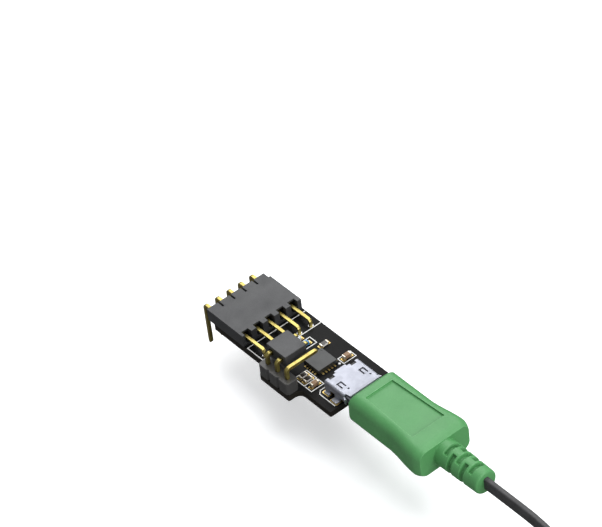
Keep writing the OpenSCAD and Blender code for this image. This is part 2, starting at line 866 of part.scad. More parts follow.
// Two spring hooks that hold the plug in the receptacle
module plug_latches() {
    top = usb_z + plug_h / 2;
    color("#b9bcc2")
        for (s = [-1, 1])
            across_y(usb_y + s * 2.4, 0.4)
                polygon([
                    [latch_x1, usb_z + 0.15], [latch_x1, usb_z + 0.32], [33.4, usb_z + 0.32],
                    [33, top + 0.04], [32.7, top + 0.04], [32.3, usb_z + 0.5], [32.3, usb_z + 0.15]
                ]);
}

// ---------- lead ----------

// Section of the flat lead, standing on its edge
function lead_outline() =
    let (w = lead_flat_t / 2, h = lead_flat_w / 2, c = 0.28)
    [[w, -h + c], [w, h - c], [w - c, h], [-w + c, h], [-w, h - c], [-w, -h + c], [-w + c, -h],
        [w - c, -h]];

// Direction of a route at point i
function heading(route, i) =
    let (
        a = route[max(0, i - 1)],
        b = route[min(len(route) - 1, i + 1)]
    )
    (b - a) / norm(b - a);

// Ring of the lead's section at point i of a route
function lead_ring(route, i) =
    let (
        d = heading(route, i),
        side = cross([0, 0, 1], d) / norm(cross([0, 0, 1], d)),
        up = cross(d, side)
    )
    [for (p = lead_outline()) route[i] + p[0] * side + p[1] * up];

module swept_lead(route) {
    m = len(lead_outline());
    n = len(route);
    points = [for (i = [0:n - 1]) each lead_ring(route, i)];
    sides = [for (i = [0:n - 2], k = [0:m - 1])
        [i * m + k, i * m + (k + 1) % m, (i + 1) * m + (k + 1) % m, (i + 1) * m + k]];
    start = [for (k = [m - 1:-1:0]) k];
    end = [for (k = [0:m - 1]) (n - 1) * m + k];
    polyhedron(points = points, faces = concat(sides, [start, end]));
}

module usb_lead() {
    color("#4b4b4d")
        swept_lead(LEAD_ROUTE);
}

module lead_tail() {
    color("#4b4b4d")
        swept_lead(TAIL_ROUTE);
}

// Two round ends joined by a straight run
module hank_outline(r, h) {
    for (x = [hank_x0, hank_x1])
        translate([x, hank_y, 0])
            cylinder(h = h, r = r);
    translate([hank_x0, hank_y - r, 0])
        cube([hank_run, 2 * r, h]);
}

module lead_hank() {
    color("#4b4b4d")
        translate([0, 0, hank_z0])
            difference() {
                hank_outline(hank_r_out, hank_top - hank_z0);
                translate([0, 0, -1])
                    hank_outline(hank_r_in, hank_top - hank_z0 + 2);
            }
}

// Band round both of the hank's runs
module hank_tie() {
    t = hank_lift - 0.02;
    gap = 0.06;
    y0 = hank_y - hank_r_out - gap;
    y1 = hank_y + hank_r_out + gap;
    color("#2d2f33")
        along_x(hank_x0 + 3.5, hank_x0 + 6.5)
            difference() {
                polygon(rounded([
                    [y0 - t, table_z, 0.5], [y1 + t, table_z, 0.5],
                    [y1 + t, hank_top + gap + t, 0.7], [y0 - t, hank_top + gap + t, 0.7]
                ]));
                polygon(rounded([
                    [y0, hank_z0 - 0.01, 0.2], [y1, hank_z0 - 0.01, 0.2],
                    [y1, hank_top + gap, 0.3], [y0, hank_top + gap, 0.3]
                ]));
            }
}

// ---------- host plug at the lead's far end ----------

// Puts the plug on the hank, with its lead end first
module host_place() {
    translate([host_x, host_y, host_z])
        mirror([1, 0, 0])
            children();
}

module host_slice(x, w, h, r) {
    along_x(x, x + 0.02)
        polygon(rounded(box_corners(w, h, r)));
}

module host_grip() {
    color("#86c590")
        host_place()
            difference() {
                hull() {
                    host_slice(host_grip_x0, host_w - 1, host_h - 1, 1.5);
                    host_slice(host_grip_x0 + 0.5, host_w, host_h, 2);
                    host_slice(host_grip_x1 - 6, host_w - 0.6, host_h, 2);
                    host_slice(host_grip_x1 - 1, host_w - 3, host_h - 0.8, 2);
                    host_slice(host_grip_x1 - 0.02, host_w - 5, host_h - 2, 1.6);
                }
                translate([0, 0, host_h / 2 - 0.3])
                    linear_extrude(height = 1)
                        polygon(rounded([
                            [host_grip_x0 + 2.5, -5, 0.5], [host_grip_x1 - 6, -4.6, 0.5],
                            [host_grip_x1 - 6, 4.6, 0.5], [host_grip_x0 + 2.5, 5, 0.5]
                        ]));
                block([host_grip_x0 - 1, -host_shell_w / 2, -host_shell_h / 2],
                    [host_mould_x0 + 0.01, host_shell_w / 2, host_shell_h / 2]);
                block([host_mould_x0, -5.5, -2.6], [host_mould_x1, 5.5, 2.6]);
                along_x(host_mould_x1 - 1, host_grip_x1 + 1)
                    polygon(lead_outline());
            }
}

module host_strain_relief() {
    color("#7dbd87")
        host_place()
            translate([host_grip_x1, 0, 0])
                difference() {
                    rotate([0, 90, 0])
                        rotate_extrude()
                            polygon([
                                [0, 0], [2.9, 0], [2.6, 0.6], [2.2, host_relief_l - 0.4],
                                [2, host_relief_l], [0, host_relief_l]
                            ]);
                    for (x = [1.4, 4.2])
                        for (s = [0, 1])
                            mirror([0, 0, s])
                                block([x, -5, 1.55], [x + 0.8, 5, 5]);
                    for (s = [0, 1])
                        mirror([0, s, 0])
                            block([2.8, 1.05, -5], [3.6, 5, 5]);
                    along_x(-1, host_relief_l + 1)
                        polygon(lead_outline());
                }
}

module host_inner_mould() {
    color("#e8e6da")
        host_place()
            difference() {
                block([host_mould_x0, -5.5, -2.6], [host_mould_x1, 5.5, 2.6]);
                along_x(host_mould_x1 - 1, host_mould_x1 + 1)
                    polygon(lead_outline());
            }
}

module host_shell() {
    w = host_shell_w / 2;
    h = host_shell_h / 2;
    color("#b9bcc2")
        host_place()
            difference() {
                block([host_tip, -w, -h], [host_mould_x0, w, h]);
                block([host_tip - 1, host_wall - w, host_wall - h],
                    [host_mould_x0 + 1, w - host_wall, h - host_wall]);
                for (s = [-1, 1])
                    translate([host_tip + 5, s * 3 - 1.1, -5])
                        cube([2.2, 2.2, 10]);
            }
}

module host_insulator() {
    w = host_shell_w / 2 - host_wall - eps;
    h = host_shell_h / 2 - host_wall - eps;
    color("#ececec")
        host_place() {
            block([host_tip + 0.4, -w, -h], [host_mould_x0, w, 1.8 - h]);
            block([host_grip_x0 - 2, -w, 1.7 - h], [host_mould_x0, w, h]);
        }
}

module host_contacts() {
    z = 1.8 + host_wall + eps - host_shell_h / 2;
    color("gold")
        host_place()
            for (i = [0:3])
                translate([0, [-3.5, -1, 1, 3.5][i], 0])
                    block([host_tip + (i == 0 || i == 3 ? 1.2 : 2.2), -0.5, z],
                        [host_grip_x0 - 2.05, 0.5, z + 0.1]);
}

// ---------- drawing ----------

breadboard_pins();
circuit_board();
silkscreen();
solder_pads();
socket_housing();
socket_contacts();
socket_solder();
header_base();
header_pins();
header_solder();
bridge_chip();
chip_terminals();
led_clear();
led_blue();
led_terminals();
capacitor_bodies();
capacitor_ends();
resistor_bodies();
resistor_coats();
resistor_ends();
receptacle_shell();
receptacle_tongue();
receptacle_contacts();
jumper_housing();
jumper_clip();
plug_grip();
plug_strain_relief();
plug_inner_mould();
plug_shell();
plug_insulator();
plug_contacts();
plug_latches();
usb_lead();
lead_hank();
lead_tail();
hank_tie();
host_grip();
host_strain_relief();
host_inner_mould();
host_shell();
host_insulator();
host_contacts();
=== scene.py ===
# %% [markdown]
# # A USB programmer for a small microcontroller
# This lesson dresses a small electronic object: a black board with a pin socket at one end, a
# jumper header on its side and a USB plug at the other end. The solid model gives each piece its
# place and size. Here the pieces get rounded corners, real finishes, a proper lead and light.
#
# The first lines load the imported model. Everything is in metres, +Z is up and +X runs along the
# board towards the lead.

# %% Load the imported model
import math

import bmesh
import bpy
from mathutils import Matrix, Vector


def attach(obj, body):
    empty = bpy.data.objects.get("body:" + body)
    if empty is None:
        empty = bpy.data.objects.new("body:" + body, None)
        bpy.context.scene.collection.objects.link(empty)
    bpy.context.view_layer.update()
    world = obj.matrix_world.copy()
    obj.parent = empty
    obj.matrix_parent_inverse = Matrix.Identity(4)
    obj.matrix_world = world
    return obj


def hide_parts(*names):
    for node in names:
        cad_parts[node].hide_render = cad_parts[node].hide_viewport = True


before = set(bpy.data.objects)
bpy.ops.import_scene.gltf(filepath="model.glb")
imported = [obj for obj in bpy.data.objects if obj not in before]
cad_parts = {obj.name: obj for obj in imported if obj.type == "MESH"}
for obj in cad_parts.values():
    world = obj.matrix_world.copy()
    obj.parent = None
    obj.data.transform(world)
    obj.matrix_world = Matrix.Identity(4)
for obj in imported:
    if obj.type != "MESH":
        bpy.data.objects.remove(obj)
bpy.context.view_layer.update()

MM = 0.001

# %% [markdown]
# ## The camera
# A catalogue would show the object from above and to one side, so that its top, one long side and
# the lead are all in view. A wide lens close by would do, but it makes the near end swell. A long
# lens half a metre away keeps the edges nearly parallel. The camera looks at a point just behind
# the middle of the socket, and leans a little, so that the lead runs out at the lower right.

# %% Place the camera
CAMERA_PLACE = Vector((0.32964, -0.21286, 0.36272))
CAMERA_TARGET = Vector((0.0014, 0.0149, 0.0))
CAMERA_LEAN = math.radians(-7.63)
CAMERA_LENS_MM = 184.56
SENSOR_MM = 36


def place_camera():
    """A long-lens camera that looks at the target and leans about its own axis."""
    camera_data = bpy.data.cameras.new("long_lens")
    camera_data.lens = CAMERA_LENS_MM
    camera_data.sensor_width = SENSOR_MM
    camera_data.sensor_fit = "HORIZONTAL"
    camera_data.clip_start = 0.02
    camera_data.clip_end = 20
    camera = bpy.data.objects.new("camera", camera_data)
    bpy.context.scene.collection.objects.link(camera)
    level = (CAMERA_TARGET - CAMERA_PLACE).to_track_quat("-Z", "Y").to_matrix().to_4x4()
    lean = Matrix.Rotation(CAMERA_LEAN, 4, "Z")
    camera.matrix_world = Matrix.Translation(CAMERA_PLACE) @ level @ lean
    bpy.context.scene.camera = camera
    return camera


camera = place_camera()
print("camera", round((CAMERA_TARGET - CAMERA_PLACE).length, 3), "m from its target")

# %% [markdown]
# ## The lead's route
# The lead is a thin flat cable, like a ribbon stood on its edge. It leaves the strain relief
# straight, bends down to the table under its own weight, and the spare length is folded up there
# as for storage: nine long turns, wound like tape, in three layers that stand on each other. The
# last fold climbs out of the hank and into the host plug, which lies on top.
#
# A curve object could follow this route, but its flat section would twist wherever the route
# turns. So the route is a list of points, and the section is carried along it with one side kept
# upright. A few waves far smaller than the cable keep the turns from looking machined.

# %% The lead, from the strain relief down to the table
LEAD_WIDTH = 2.4 * MM
LEAD_THICK = 1.0 * MM

down_to_table = [
    (64, 0.35, 3.3), (65.55, 0.35, 3.3), (68, 0.35, 3.3), (71, 0.35, 3.3), (74, 0.35, 3.28),
    (76.5, 0.35, 3.2), (78.5, 0.4, 2.85), (80.5, 0.55, 2.1), (82.5, 0.75, 0.9),
    (84.5, 1.05, -0.65), (86.5, 1.4, -2.4), (88.5, 1.8, -4.1), (90.5, 2.25, -5.55),
    (92.5, 2.65, -6.65), (94.5, 3, -7.35), (96.5, 3.25, -7.7), (98.5, 3.35, -7.8),
]


def smooth_line(corners, steps):
    """Points on one smooth curve through the corners, with some steps between each two."""
    points = [Vector(c) for c in corners]
    padded = [2 * points[0] - points[1], *points, 2 * points[-1] - points[-2]]
    line = []
    for a, b, c, d in zip(padded, padded[1:], padded[2:], padded[3:]):
        for i in range(steps):
            t = i / steps
            line.append(
                0.5 * (2 * b + (c - a) * t + (2 * a - 5 * b + 4 * c - d) * t * t
                       + (3 * b - a - 3 * c + d) * t * t * t)
            )
    return [*line, points[-1]]


def eased(t):
    """A smooth step from 0 to 1: flat at both ends."""
    t = min(1, max(0, t))
    return t * t * (3 - 2 * t)


# %% [markdown]
# ### The hank
# A hank is wound round two fingers: two straight runs and a fold at each end. One formula gives
# the place after any number of turns. Each turn lies inside the one before it, and at the end of
# a layer the lead climbs onto it and works its way out again. The waves go into the radius.

# %% The hank, a long winding in three layers
HANK_NEAR = Vector((100, -7.45)) * MM
HANK_RUN = 24 * MM
HANK_OUTER_R = 10.8 * MM
HANK_STEP = 1.2 * MM
HANK_WAVE = 0.03 * MM
WAVE_RATE = 16
TURNS_A_LAYER = 3
LAYER_HEIGHTS = (-7.8 * MM, -5.35 * MM, -2.9 * MM)
CLIMB_STARTS_EARLY = 0.14
CLIMB_TAKES = 0.16
MEAN_FOLD_R = 9
HALF_FOLD = math.pi * MEAN_FOLD_R * MM
TURN_LENGTH = 2 * HANK_RUN + 2 * HALF_FOLD
HANK_TURNS = len(LAYER_HEIGHTS) * TURNS_A_LAYER - HALF_FOLD / TURN_LENGTH


def hank_point(wound):
    """Where the lead lies after some number of turns."""
    layer, into_layer = divmod(wound, TURNS_A_LAYER)
    turns_in = into_layer if layer % 2 == 0 else TURNS_A_LAYER - into_layer
    radius = HANK_OUTER_R - HANK_STEP * turns_in + HANK_WAVE * math.sin(WAVE_RATE * wound + 1)
    climbed = sum(eased((wound - TURNS_A_LAYER * n + CLIMB_STARTS_EARLY) / CLIMB_TAKES)
                  for n in (1, 2))
    height = LAYER_HEIGHTS[0] + (LAYER_HEIGHTS[1] - LAYER_HEIGHTS[0]) * climbed
    along = (wound % 1) * TURN_LENGTH
    far_fold, back_run, near_fold = HANK_RUN, HANK_RUN + HALF_FOLD, 2 * HANK_RUN + HALF_FOLD
    if along < far_fold:
        x, y = along, radius
    elif along < back_run:
        angle = math.pi * (0.5 - (along - far_fold) / HALF_FOLD)
        x, y = HANK_RUN + radius * math.cos(angle), radius * math.sin(angle)
    elif along < near_fold:
        x, y = HANK_RUN - (along - back_run), -radius
    else:
        angle = math.pi * (-0.5 - (along - near_fold) / HALF_FOLD)
        x, y = radius * math.cos(angle), radius * math.sin(angle)
    return Vector((HANK_NEAR.x + x, HANK_NEAR.y + y, height))


def hank_line(steps_a_turn=96):
    """The whole winding as a list of points."""
    count = int(HANK_TURNS * steps_a_turn)
    return [hank_point(HANK_TURNS * i / count) for i in range(1, count)]


print("hank of", round(HANK_TURNS, 2), "turns,", round(TURN_LENGTH, 4), "m a turn")

# %% [markdown]
# ### The last fold
# The plug lies on top of the hank, so the last fold has to rise to it. A half turn that climbs
# slowly at both ends has no kink, and it keeps the bend as wide as the other folds.

# %% The last fold, up into the host plug
FOLD_R = 7.5 * MM
HOST_ENTRY = Vector((102.5, 0.05, 2.35)) * MM
STEPS_INTO_HOST = (-1.2, 0, 2, 5, 8, 11)


def last_fold(steps=24):
    """A half turn that rises from the top layer to the host plug."""
    line = []
    for i in range(steps + 1):
        t = i / steps
        angle = math.pi * (-0.5 - t)
        height = LAYER_HEIGHTS[-1] + (HOST_ENTRY.z - LAYER_HEIGHTS[-1]) * eased(t)
        line.append(Vector((HANK_NEAR.x + FOLD_R * math.cos(angle),
                            HANK_NEAR.y + FOLD_R * math.sin(angle), height)))
    return line


lead_route = [p * MM for p in smooth_line(down_to_table, 4)]
lead_route += hank_line() + last_fold()
lead_route += [HOST_ENTRY + Vector((step, 0, 0)) * MM for step in STEPS_INTO_HOST]
route_length = sum((b - a).length for a, b in zip(lead_route, lead_route[1:]))
print("lead follows", len(lead_route), "points,", round(route_length, 3), "m")

# %% [markdown]
# ## From a route to a cable
# The section is a flat rectangle with rounded corners. Each point of the route gets one copy of
# it, turned to face along the route, and neighbouring copies are joined with four-sided faces.
# The same two helpers, a rounded outline and a skin over rings of points, make the grips later.

# %% Helpers: a rounded outline and a skin over rings
def rounded_outline(width, height, radius, steps=3):
    """Corner points of a rectangle with round corners, going anticlockwise."""
    outline = []
    for turn, (a, b) in enumerate(((1, 1), (-1, 1), (-1, -1), (1, -1))):
        for i in range(steps + 1):
            angle = math.radians(90 * turn + 90 * i / steps)
            outline.append((
                a * (width / 2 - radius) + radius * math.cos(angle),
                b * (height / 2 - radius) + radius * math.sin(angle),
            ))
    return outline


def skin(name, rings):
    """A closed mesh object whose faces join each ring of points to the next."""
    bm = bmesh.new()
    made = [[bm.verts.new(p) for p in ring] for ring in rings]
    for a, b in zip(made, made[1:]):
        for k in range(len(a)):
            following = (k + 1) % len(a)
            bm.faces.new((a[k], a[following], b[following], b[k]))
    bm.faces.new(list(reversed(made[0])))
    bm.faces.new(made[-1])
    bmesh.ops.recalc_face_normals(bm, faces=bm.faces)
    mesh = bpy.data.meshes.new(name)
    bm.to_mesh(mesh)
    bm.free()
    piece = bpy.data.objects.new(name, mesh)
    bpy.context.scene.collection.objects.link(piece)
    return piece


def smooth_up_to(piece, degrees):
    """Smooth shading, but not where two faces meet at more than some degrees."""
    piece.data.shade_smooth()
    piece.data.set_sharp_from_angle(angle=math.radians(degrees))


print("a rounded outline has", len(rounded_outline(LEAD_THICK, LEAD_WIDTH, 0)), "corners")

# %% [markdown]
# ### The lead's own mesh
# Blender can sweep a section along a curve object as well. Doing it point by point costs a few
# lines more, and it settles how the section stands: its long side stays as upright as the route
# allows, because the real lead leaves the plug on its edge and is folded up that way.

# %% Sweep the flat section along the route
UP = Vector((0, 0, 1))
LEAD_CORNER = 0.28 * MM


def sweep_flat(name, route, outline):
    """Carries an outline along a route with its second axis kept upright."""
    rings = []
    for i, place in enumerate(route):
        ahead = (route[min(i + 1, len(route) - 1)] - route[max(i - 1, 0)]).normalized()
        side = UP.cross(ahead).normalized()
        upright = ahead.cross(side)
        rings.append([place + side * p[0] + upright * p[1] for p in outline])
    return skin(name, rings)


lead_section = rounded_outline(LEAD_THICK, LEAD_WIDTH, LEAD_CORNER)
flat_lead = sweep_flat("flat_lead", lead_route, lead_section)
smooth_up_to(flat_lead, 50)
print("flat lead has", len(flat_lead.data.polygons), "faces")

# %% [markdown]
# ## Who moves with whom
# The programmer comes apart in three places, and a dressed piece has to move with the right part
# of it. So each piece names the body that it rides on and the solids that it is shown instead of.
# One helper says both. The whole lead moves with the plug on its near end.

# %% Helper: what a piece rides on and stands for
def assign(piece, body, slot, *nodes):
    """Lets a piece move with its body, and stand for the solids that it was made from."""
    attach(piece, body)
    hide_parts(*nodes)
    return piece


assign(flat_lead, "usb_plug", "lead_grey", "usb_lead", "lead_hank", "lead_tail")
print("flat lead rides on the plug's body")

# %% [markdown]
# ## Effects that several finishes share
# A finish is more than a colour. Moulded plastic takes a fine grain from its steel mould,
# fingers leave patches that shine a little more, corners are lighter, rubbed by handling and given
# a painted highlight along the edge, and plated metal is mottled where the plate is thinner. Each
# effect is a node group, built once. A group only puts out numbers that change over the surface.
# Every finish feeds them into its own shader with its own strengths.

# %% Helper: start a node group
def start_effect(name, inputs, outputs):
    """An empty effect with number inputs and number outputs: the tree, its input and output."""
    tree = bpy.data.node_groups.new(name, "ShaderNodeTree")
    for title, value in inputs:
        socket = tree.interface.new_socket(title, in_out="INPUT", socket_type="NodeSocketFloat")
        socket.default_value = value
    for title in outputs:
        tree.interface.new_socket(title, in_out="OUTPUT", socket_type="NodeSocketFloat")
    return tree, tree.nodes.new("NodeGroupInput"), tree.nodes.new("NodeGroupOutput")


print("effects can be started")

# %% [markdown]
# ### Steps inside an effect
# Nearly every effect is made from the same three steps: a cloud of noise, one piece of
# arithmetic, and a stretch of the result to the range that is wanted. Three helpers place them,
# so that an effect below reads like a formula.

# %% Helpers: noise, arithmetic and range
def add_noise(tree, scale_from, place_from, detail=2.0, roughness=0.5):
    """A cloud of soft spots at a place and scale that come from other nodes."""
    noise = tree.nodes.new("ShaderNodeTexNoise")
    noise.inputs["Detail"].default_value = detail
    noise.inputs["Roughness"].default_value = roughness
    tree.links.new(place_from, noise.inputs["Vector"])
    tree.links.new(scale_from, noise.inputs["Scale"])
    return noise.outputs["Fac"]


def arithmetic(tree, operation, first, second):
    """One arithmetic step, where each side is a socket or a number."""
    step = tree.nodes.new("ShaderNodeMath")
    step.operation = operation
    for socket, value in zip(step.inputs, (first, second)):
        if isinstance(value, (int, float)):
            socket.default_value = value
        else:
            tree.links.new(value, socket)
    return step.outputs[0]


def add_range(tree, value, low, high, to_low=0.0, to_high=1.0):
    """Spreads the part of a value between low and high over a new range, and cuts the rest."""
    spread = tree.nodes.new("ShaderNodeMapRange")
    for title, number in (
        ("From Min", low), ("From Max", high), ("To Min", to_low), ("To Max", to_high)
    ):
        if isinstance(number, (int, float)):
            spread.inputs[title].default_value = number
        else:
            tree.links.new(number, spread.inputs[title])
    tree.links.new(value, spread.inputs["Value"])
    return spread.outputs["Result"]


print("three steps can be placed: noise, arithmetic, range")

# %% [markdown]
# ### Mould grain
# A mould's steel is spark-eroded, which leaves tiny rounded bumps on the plastic. Noise at two
# scales gives them: the fine one is the grain itself, the wide one is the slow change of tone
# where the plastic flowed.

# %% Effect: mould grain
def build_mould_grain():
    """Height of the fine grain, and a tone that drifts."""
    tree, given, out = start_effect(
        "mould grain", [("Grains per metre", 6000), ("Patches per metre", 300)], ["Height", "Tone"]
    )
    place = tree.nodes.new("ShaderNodeTexCoord").outputs["Object"]
    grain = add_noise(tree, given.outputs["Grains per metre"], place, 3, 0.6)
    patches = add_noise(tree, given.outputs["Patches per metre"], place, 4, 0.55)
    tree.links.new(grain, out.inputs["Height"])
    mixed = arithmetic(tree, "ADD", arithmetic(tree, "MULTIPLY", grain, 0.45),
                       arithmetic(tree, "MULTIPLY", patches, 0.55))
    tree.links.new(add_range(tree, mixed, 0.35, 0.65), out.inputs["Tone"])
    return tree


mould_grain = build_mould_grain()
print("effect", mould_grain.name)

# %% [markdown]
# ### Rubbed and highlit corners
# Corners are lighter in colour: handling rubs them first, and the lighter colour is also a painted
# highlight along the rounded edge. The corner mask compares the true surface direction with one
# that has been rounded over a small radius: they differ only near a corner. Fine noise breaks the
# mask up, because rubbing is never even.

# %% Effect: rubbed and highlit corners
def build_rubbed_and_highlit_corners():
    """A mask that is 1 on corners, where handling rubs them and a highlight is painted."""
    tree, given, out = start_effect(
        "rubbed and highlit corners", [("Corner radius", 0.0001), ("Wear", 0.5)], ["Mask"]
    )
    rounded = tree.nodes.new("ShaderNodeBevel")
    rounded.samples = 4
    tree.links.new(given.outputs["Corner radius"], rounded.inputs["Radius"])
    surface = tree.nodes.new("ShaderNodeNewGeometry")
    compare = tree.nodes.new("ShaderNodeVectorMath")
    compare.operation = "DOT_PRODUCT"
    tree.links.new(rounded.outputs["Normal"], compare.inputs[0])
    tree.links.new(surface.outputs["Normal"], compare.inputs[1])
    corner = add_range(tree, compare.outputs["Value"], 0.995, 0.8)
    place = tree.nodes.new("ShaderNodeTexCoord").outputs["Object"]
    patchy = tree.nodes.new("ShaderNodeTexNoise")
    patchy.inputs["Scale"].default_value = 2500
    patchy.inputs["Detail"].default_value = 3
    tree.links.new(place, patchy.inputs["Vector"])
    broken = add_range(tree, patchy.outputs["Fac"], 0.35, 0.6, 0.3, 1)
    uneven = arithmetic(tree, "MULTIPLY", corner, broken)
    # The mask marks rubbed corners and a painted highlight along the edge.
    rubbed_and_lit = arithmetic(tree, "MULTIPLY", uneven, given.outputs["Wear"])
    tree.links.new(rubbed_and_lit, out.inputs["Mask"])
    return tree


rubbed_and_highlit_corners = build_rubbed_and_highlit_corners()
print("effect", rubbed_and_highlit_corners.name)

# %% [markdown]
# ### Handled surface
# Skin oil fills the grain in patches, so those patches scatter less light. The effect gives a
# roughness that drifts between two values.

# %% Effect: handled surface
def build_handled_surface():
    """A roughness that drifts between two values."""
    tree, given, out = start_effect(
        "handled surface",
        [("Patches per metre", 250), ("Smoothest", 0.35), ("Roughest", 0.5)],
        ["Roughness"],
    )
    place = tree.nodes.new("ShaderNodeTexCoord").outputs["Object"]
    patches = add_noise(tree, given.outputs["Patches per metre"], place, 5, 0.6)
    rough = add_range(
        tree, patches, 0.3, 0.7, given.outputs["Smoothest"], given.outputs["Roughest"]
    )
    tree.links.new(rough, out.inputs["Roughness"])
    return tree


handled_surface = build_handled_surface()
print("effect", handled_surface.name)

# %% [markdown]
# ### Thin plating
# Gold and nickel plate on stamped metal is only a few thousandths of a millimetre thick. It keeps
# the drawing lines of the strip under it, and it tones down in small spots. Stretched noise gives
# the lines, and round noise gives the spots.

# %% Effect: thin plating
LINES_ALONG_X = (0.12, 1, 1)


def build_thin_plating():
    """Height of the drawing lines, and a mask of dull spots."""
    tree, given, out = start_effect(
        "thin plating", [("Lines per metre", 4000), ("Spots per metre", 900)], ["Height", "Spots"]
    )
    place = tree.nodes.new("ShaderNodeTexCoord").outputs["Object"]
    stretch = tree.nodes.new("ShaderNodeMapping")
    stretch.inputs["Scale"].default_value = LINES_ALONG_X
    tree.links.new(place, stretch.inputs["Vector"])
    lines = add_noise(tree, given.outputs["Lines per metre"], stretch.outputs["Vector"], 2, 0.5)
    spots = add_noise(tree, given.outputs["Spots per metre"], place, 4, 0.65)
    tree.links.new(lines, out.inputs["Height"])
    tree.links.new(add_range(tree, spots, 0.48, 0.72), out.inputs["Spots"])
    return tree


thin_plating = build_thin_plating()
print("effect", thin_plating.name)

# %% [markdown]
# ## Finishes
# Every finish starts the same way: a shader, a bump that turns small heights into slopes of the
# surface, and one colour that drifts towards another. The helpers below wire that up, so each
# finish reads as a short list of what is special about it.

# %% Helpers: start a finish and place an effect in it
def start_finish(name):
    """A new material: its tree and its shader."""
    finish = bpy.data.materials.new(name)
    finish.use_nodes = True
    return finish, finish.node_tree, finish.node_tree.nodes["Principled BSDF"]


def place_effect(tree, effect, **values):
    """Places a shared effect in a finish, with this finish's own values."""
    placed = tree.nodes.new("ShaderNodeGroup")
    placed.node_tree = effect
    for title, value in values.items():
        placed.inputs[title.replace("_", " ")].default_value = value
    return placed


print("finishes can be started")

# %% [markdown]
# ### Relief and colour
# A bump is given its depth in metres, so that it can be compared with the real thing. The grain
# of the black housings, for one, is about a hundredth of a millimetre deep. Colours go through a
# Mix node. It keeps a set of sockets for each kind of data, so a helper picks the colour ones.

# %% Helpers: a bump of real depth and a blend of two colours
def raise_surface(tree, shader, height, depth):
    """Turns a height from 0 to 1 into a bump of a real depth in metres."""
    bump = tree.nodes.new("ShaderNodeBump")
    bump.inputs["Distance"].default_value = depth
    bump.inputs["Strength"].default_value = 1
    tree.links.new(height, bump.inputs["Height"])
    tree.links.new(bump.outputs["Normal"], shader.inputs["Normal"])


def colour_socket(sockets, name):
    """A Mix node's colour socket: it also has a set of sockets for each other kind of data."""
    return [s for s in sockets if s.name == name and s.type == "RGBA"][0]


def blend_colours(tree, amount, first, second):
    """A colour that goes from the first to the second as amount goes from 0 to 1."""
    mix = tree.nodes.new("ShaderNodeMix")
    mix.data_type = "RGBA"
    tree.links.new(amount, mix.inputs[0])
    for side, value in (("A", first), ("B", second)):
        socket = colour_socket(mix.inputs, side)
        if isinstance(value, tuple):
            socket.default_value = (*value, 1)
        else:
            tree.links.new(value, socket)
    return colour_socket(mix.outputs, "Result")


print("surfaces can be raised and colours blended")

# %% [markdown]
# ### Moulded plastics
# The socket, the shunt, the header's base and the chip are black plastic, but under a bright
# ceiling their tops read as grey, because the matt surface spreads the ceiling's reflection. The
# green grip and strain relief are soft PVC: smoother, with a soft shine. One recipe serves them
# all with different numbers.

# %% Recipe for moulded plastic
def moulded(name, dark, light, rubbed_and_highlit_colour, grains, depth, smoothest, roughest,
            corner_lightening=0.5, gloss=0.5, corner=0.09 * MM):
    """Plastic with mould grain, patchy shine and lighter corners."""
    finish, tree, shader = start_finish(name)
    grain = place_effect(tree, mould_grain, Grains_per_metre=grains)
    corners = place_effect(tree, rubbed_and_highlit_corners, Corner_radius=corner, Wear=corner_lightening)
    handled = place_effect(tree, handled_surface, Smoothest=smoothest, Roughest=roughest)
    body = blend_colours(tree, grain.outputs["Tone"], dark, light)
    # Corners take the lighter colour: partly rubbed by handling, partly a painted highlight.
    coloured = blend_colours(tree, corners.outputs["Mask"], body, rubbed_and_highlit_colour)
    tree.links.new(coloured, shader.inputs["Base Color"])
    tree.links.new(handled.outputs["Roughness"], shader.inputs["Roughness"])
    shader.inputs["Specular IOR Level"].default_value = gloss
    raise_surface(tree, shader, grain.outputs["Height"], depth)
    return finish


housing_black = moulded("housing black", (0.02, 0.021, 0.023), (0.032, 0.033, 0.036),
                        (0.12, 0.12, 0.125), 7000, 0.012 * MM, 0.4, 0.54, corner_lightening=0.3, gloss=0.6)
chip_black = moulded("chip black", (0.022, 0.024, 0.024), (0.034, 0.036, 0.036),
                     (0.1, 0.1, 0.1), 12000, 0.004 * MM, 0.42, 0.56, corner_lightening=0.2, gloss=0.6)
header_black = moulded("header black", (0.036, 0.035, 0.034), (0.052, 0.051, 0.05),
                       (0.1, 0.1, 0.1), 7000, 0.004 * MM, 0.35, 0.48, corner_lightening=0.3, gloss=0.5)
# The grip's much lighter corner green is mostly a painted highlight along its rounded edges.
grip_green = moulded("grip green", (0.068, 0.25, 0.08), (0.081, 0.284, 0.093),
                     (0.17, 0.47, 0.19), 3500, 0.005 * MM, 0.4, 0.52, corner_lightening=0.9, gloss=0.45,
                     corner=0.22 * MM)
tongue_black = moulded("tongue black", (0.012, 0.012, 0.013), (0.02, 0.02, 0.021),
                       (0.06, 0.06, 0.06), 9000, 0.003 * MM, 0.4, 0.55)
core_white = moulded("core white", (0.7, 0.69, 0.62), (0.78, 0.77, 0.7),
                     (0.85, 0.84, 0.8), 3000, 0.006 * MM, 0.4, 0.5)
insert_white = moulded("insert white", (0.78, 0.78, 0.77), (0.86, 0.86, 0.85),
                       (0.92, 0.92, 0.92), 5000, 0.003 * MM, 0.35, 0.45)
tie_black = moulded("tie black", (0.012, 0.012, 0.014), (0.022, 0.022, 0.025),
                    (0.07, 0.07, 0.07), 2500, 0.01 * MM, 0.45, 0.6)
plastics = (housing_black, chip_black, header_black, grip_green, tongue_black, core_white,
            insert_white, tie_black)
print("moulded finishes:", ", ".join(finish.name for finish in plastics))

# %% [markdown]
# ### The lead's jacket
# A soft jacket is extruded, not moulded. It is matt, picks up dust, and shows faint lines along
# its length. The lines are left out here, because the hank turns through every direction, and a
# fine pebble is what the eye reads at this size.

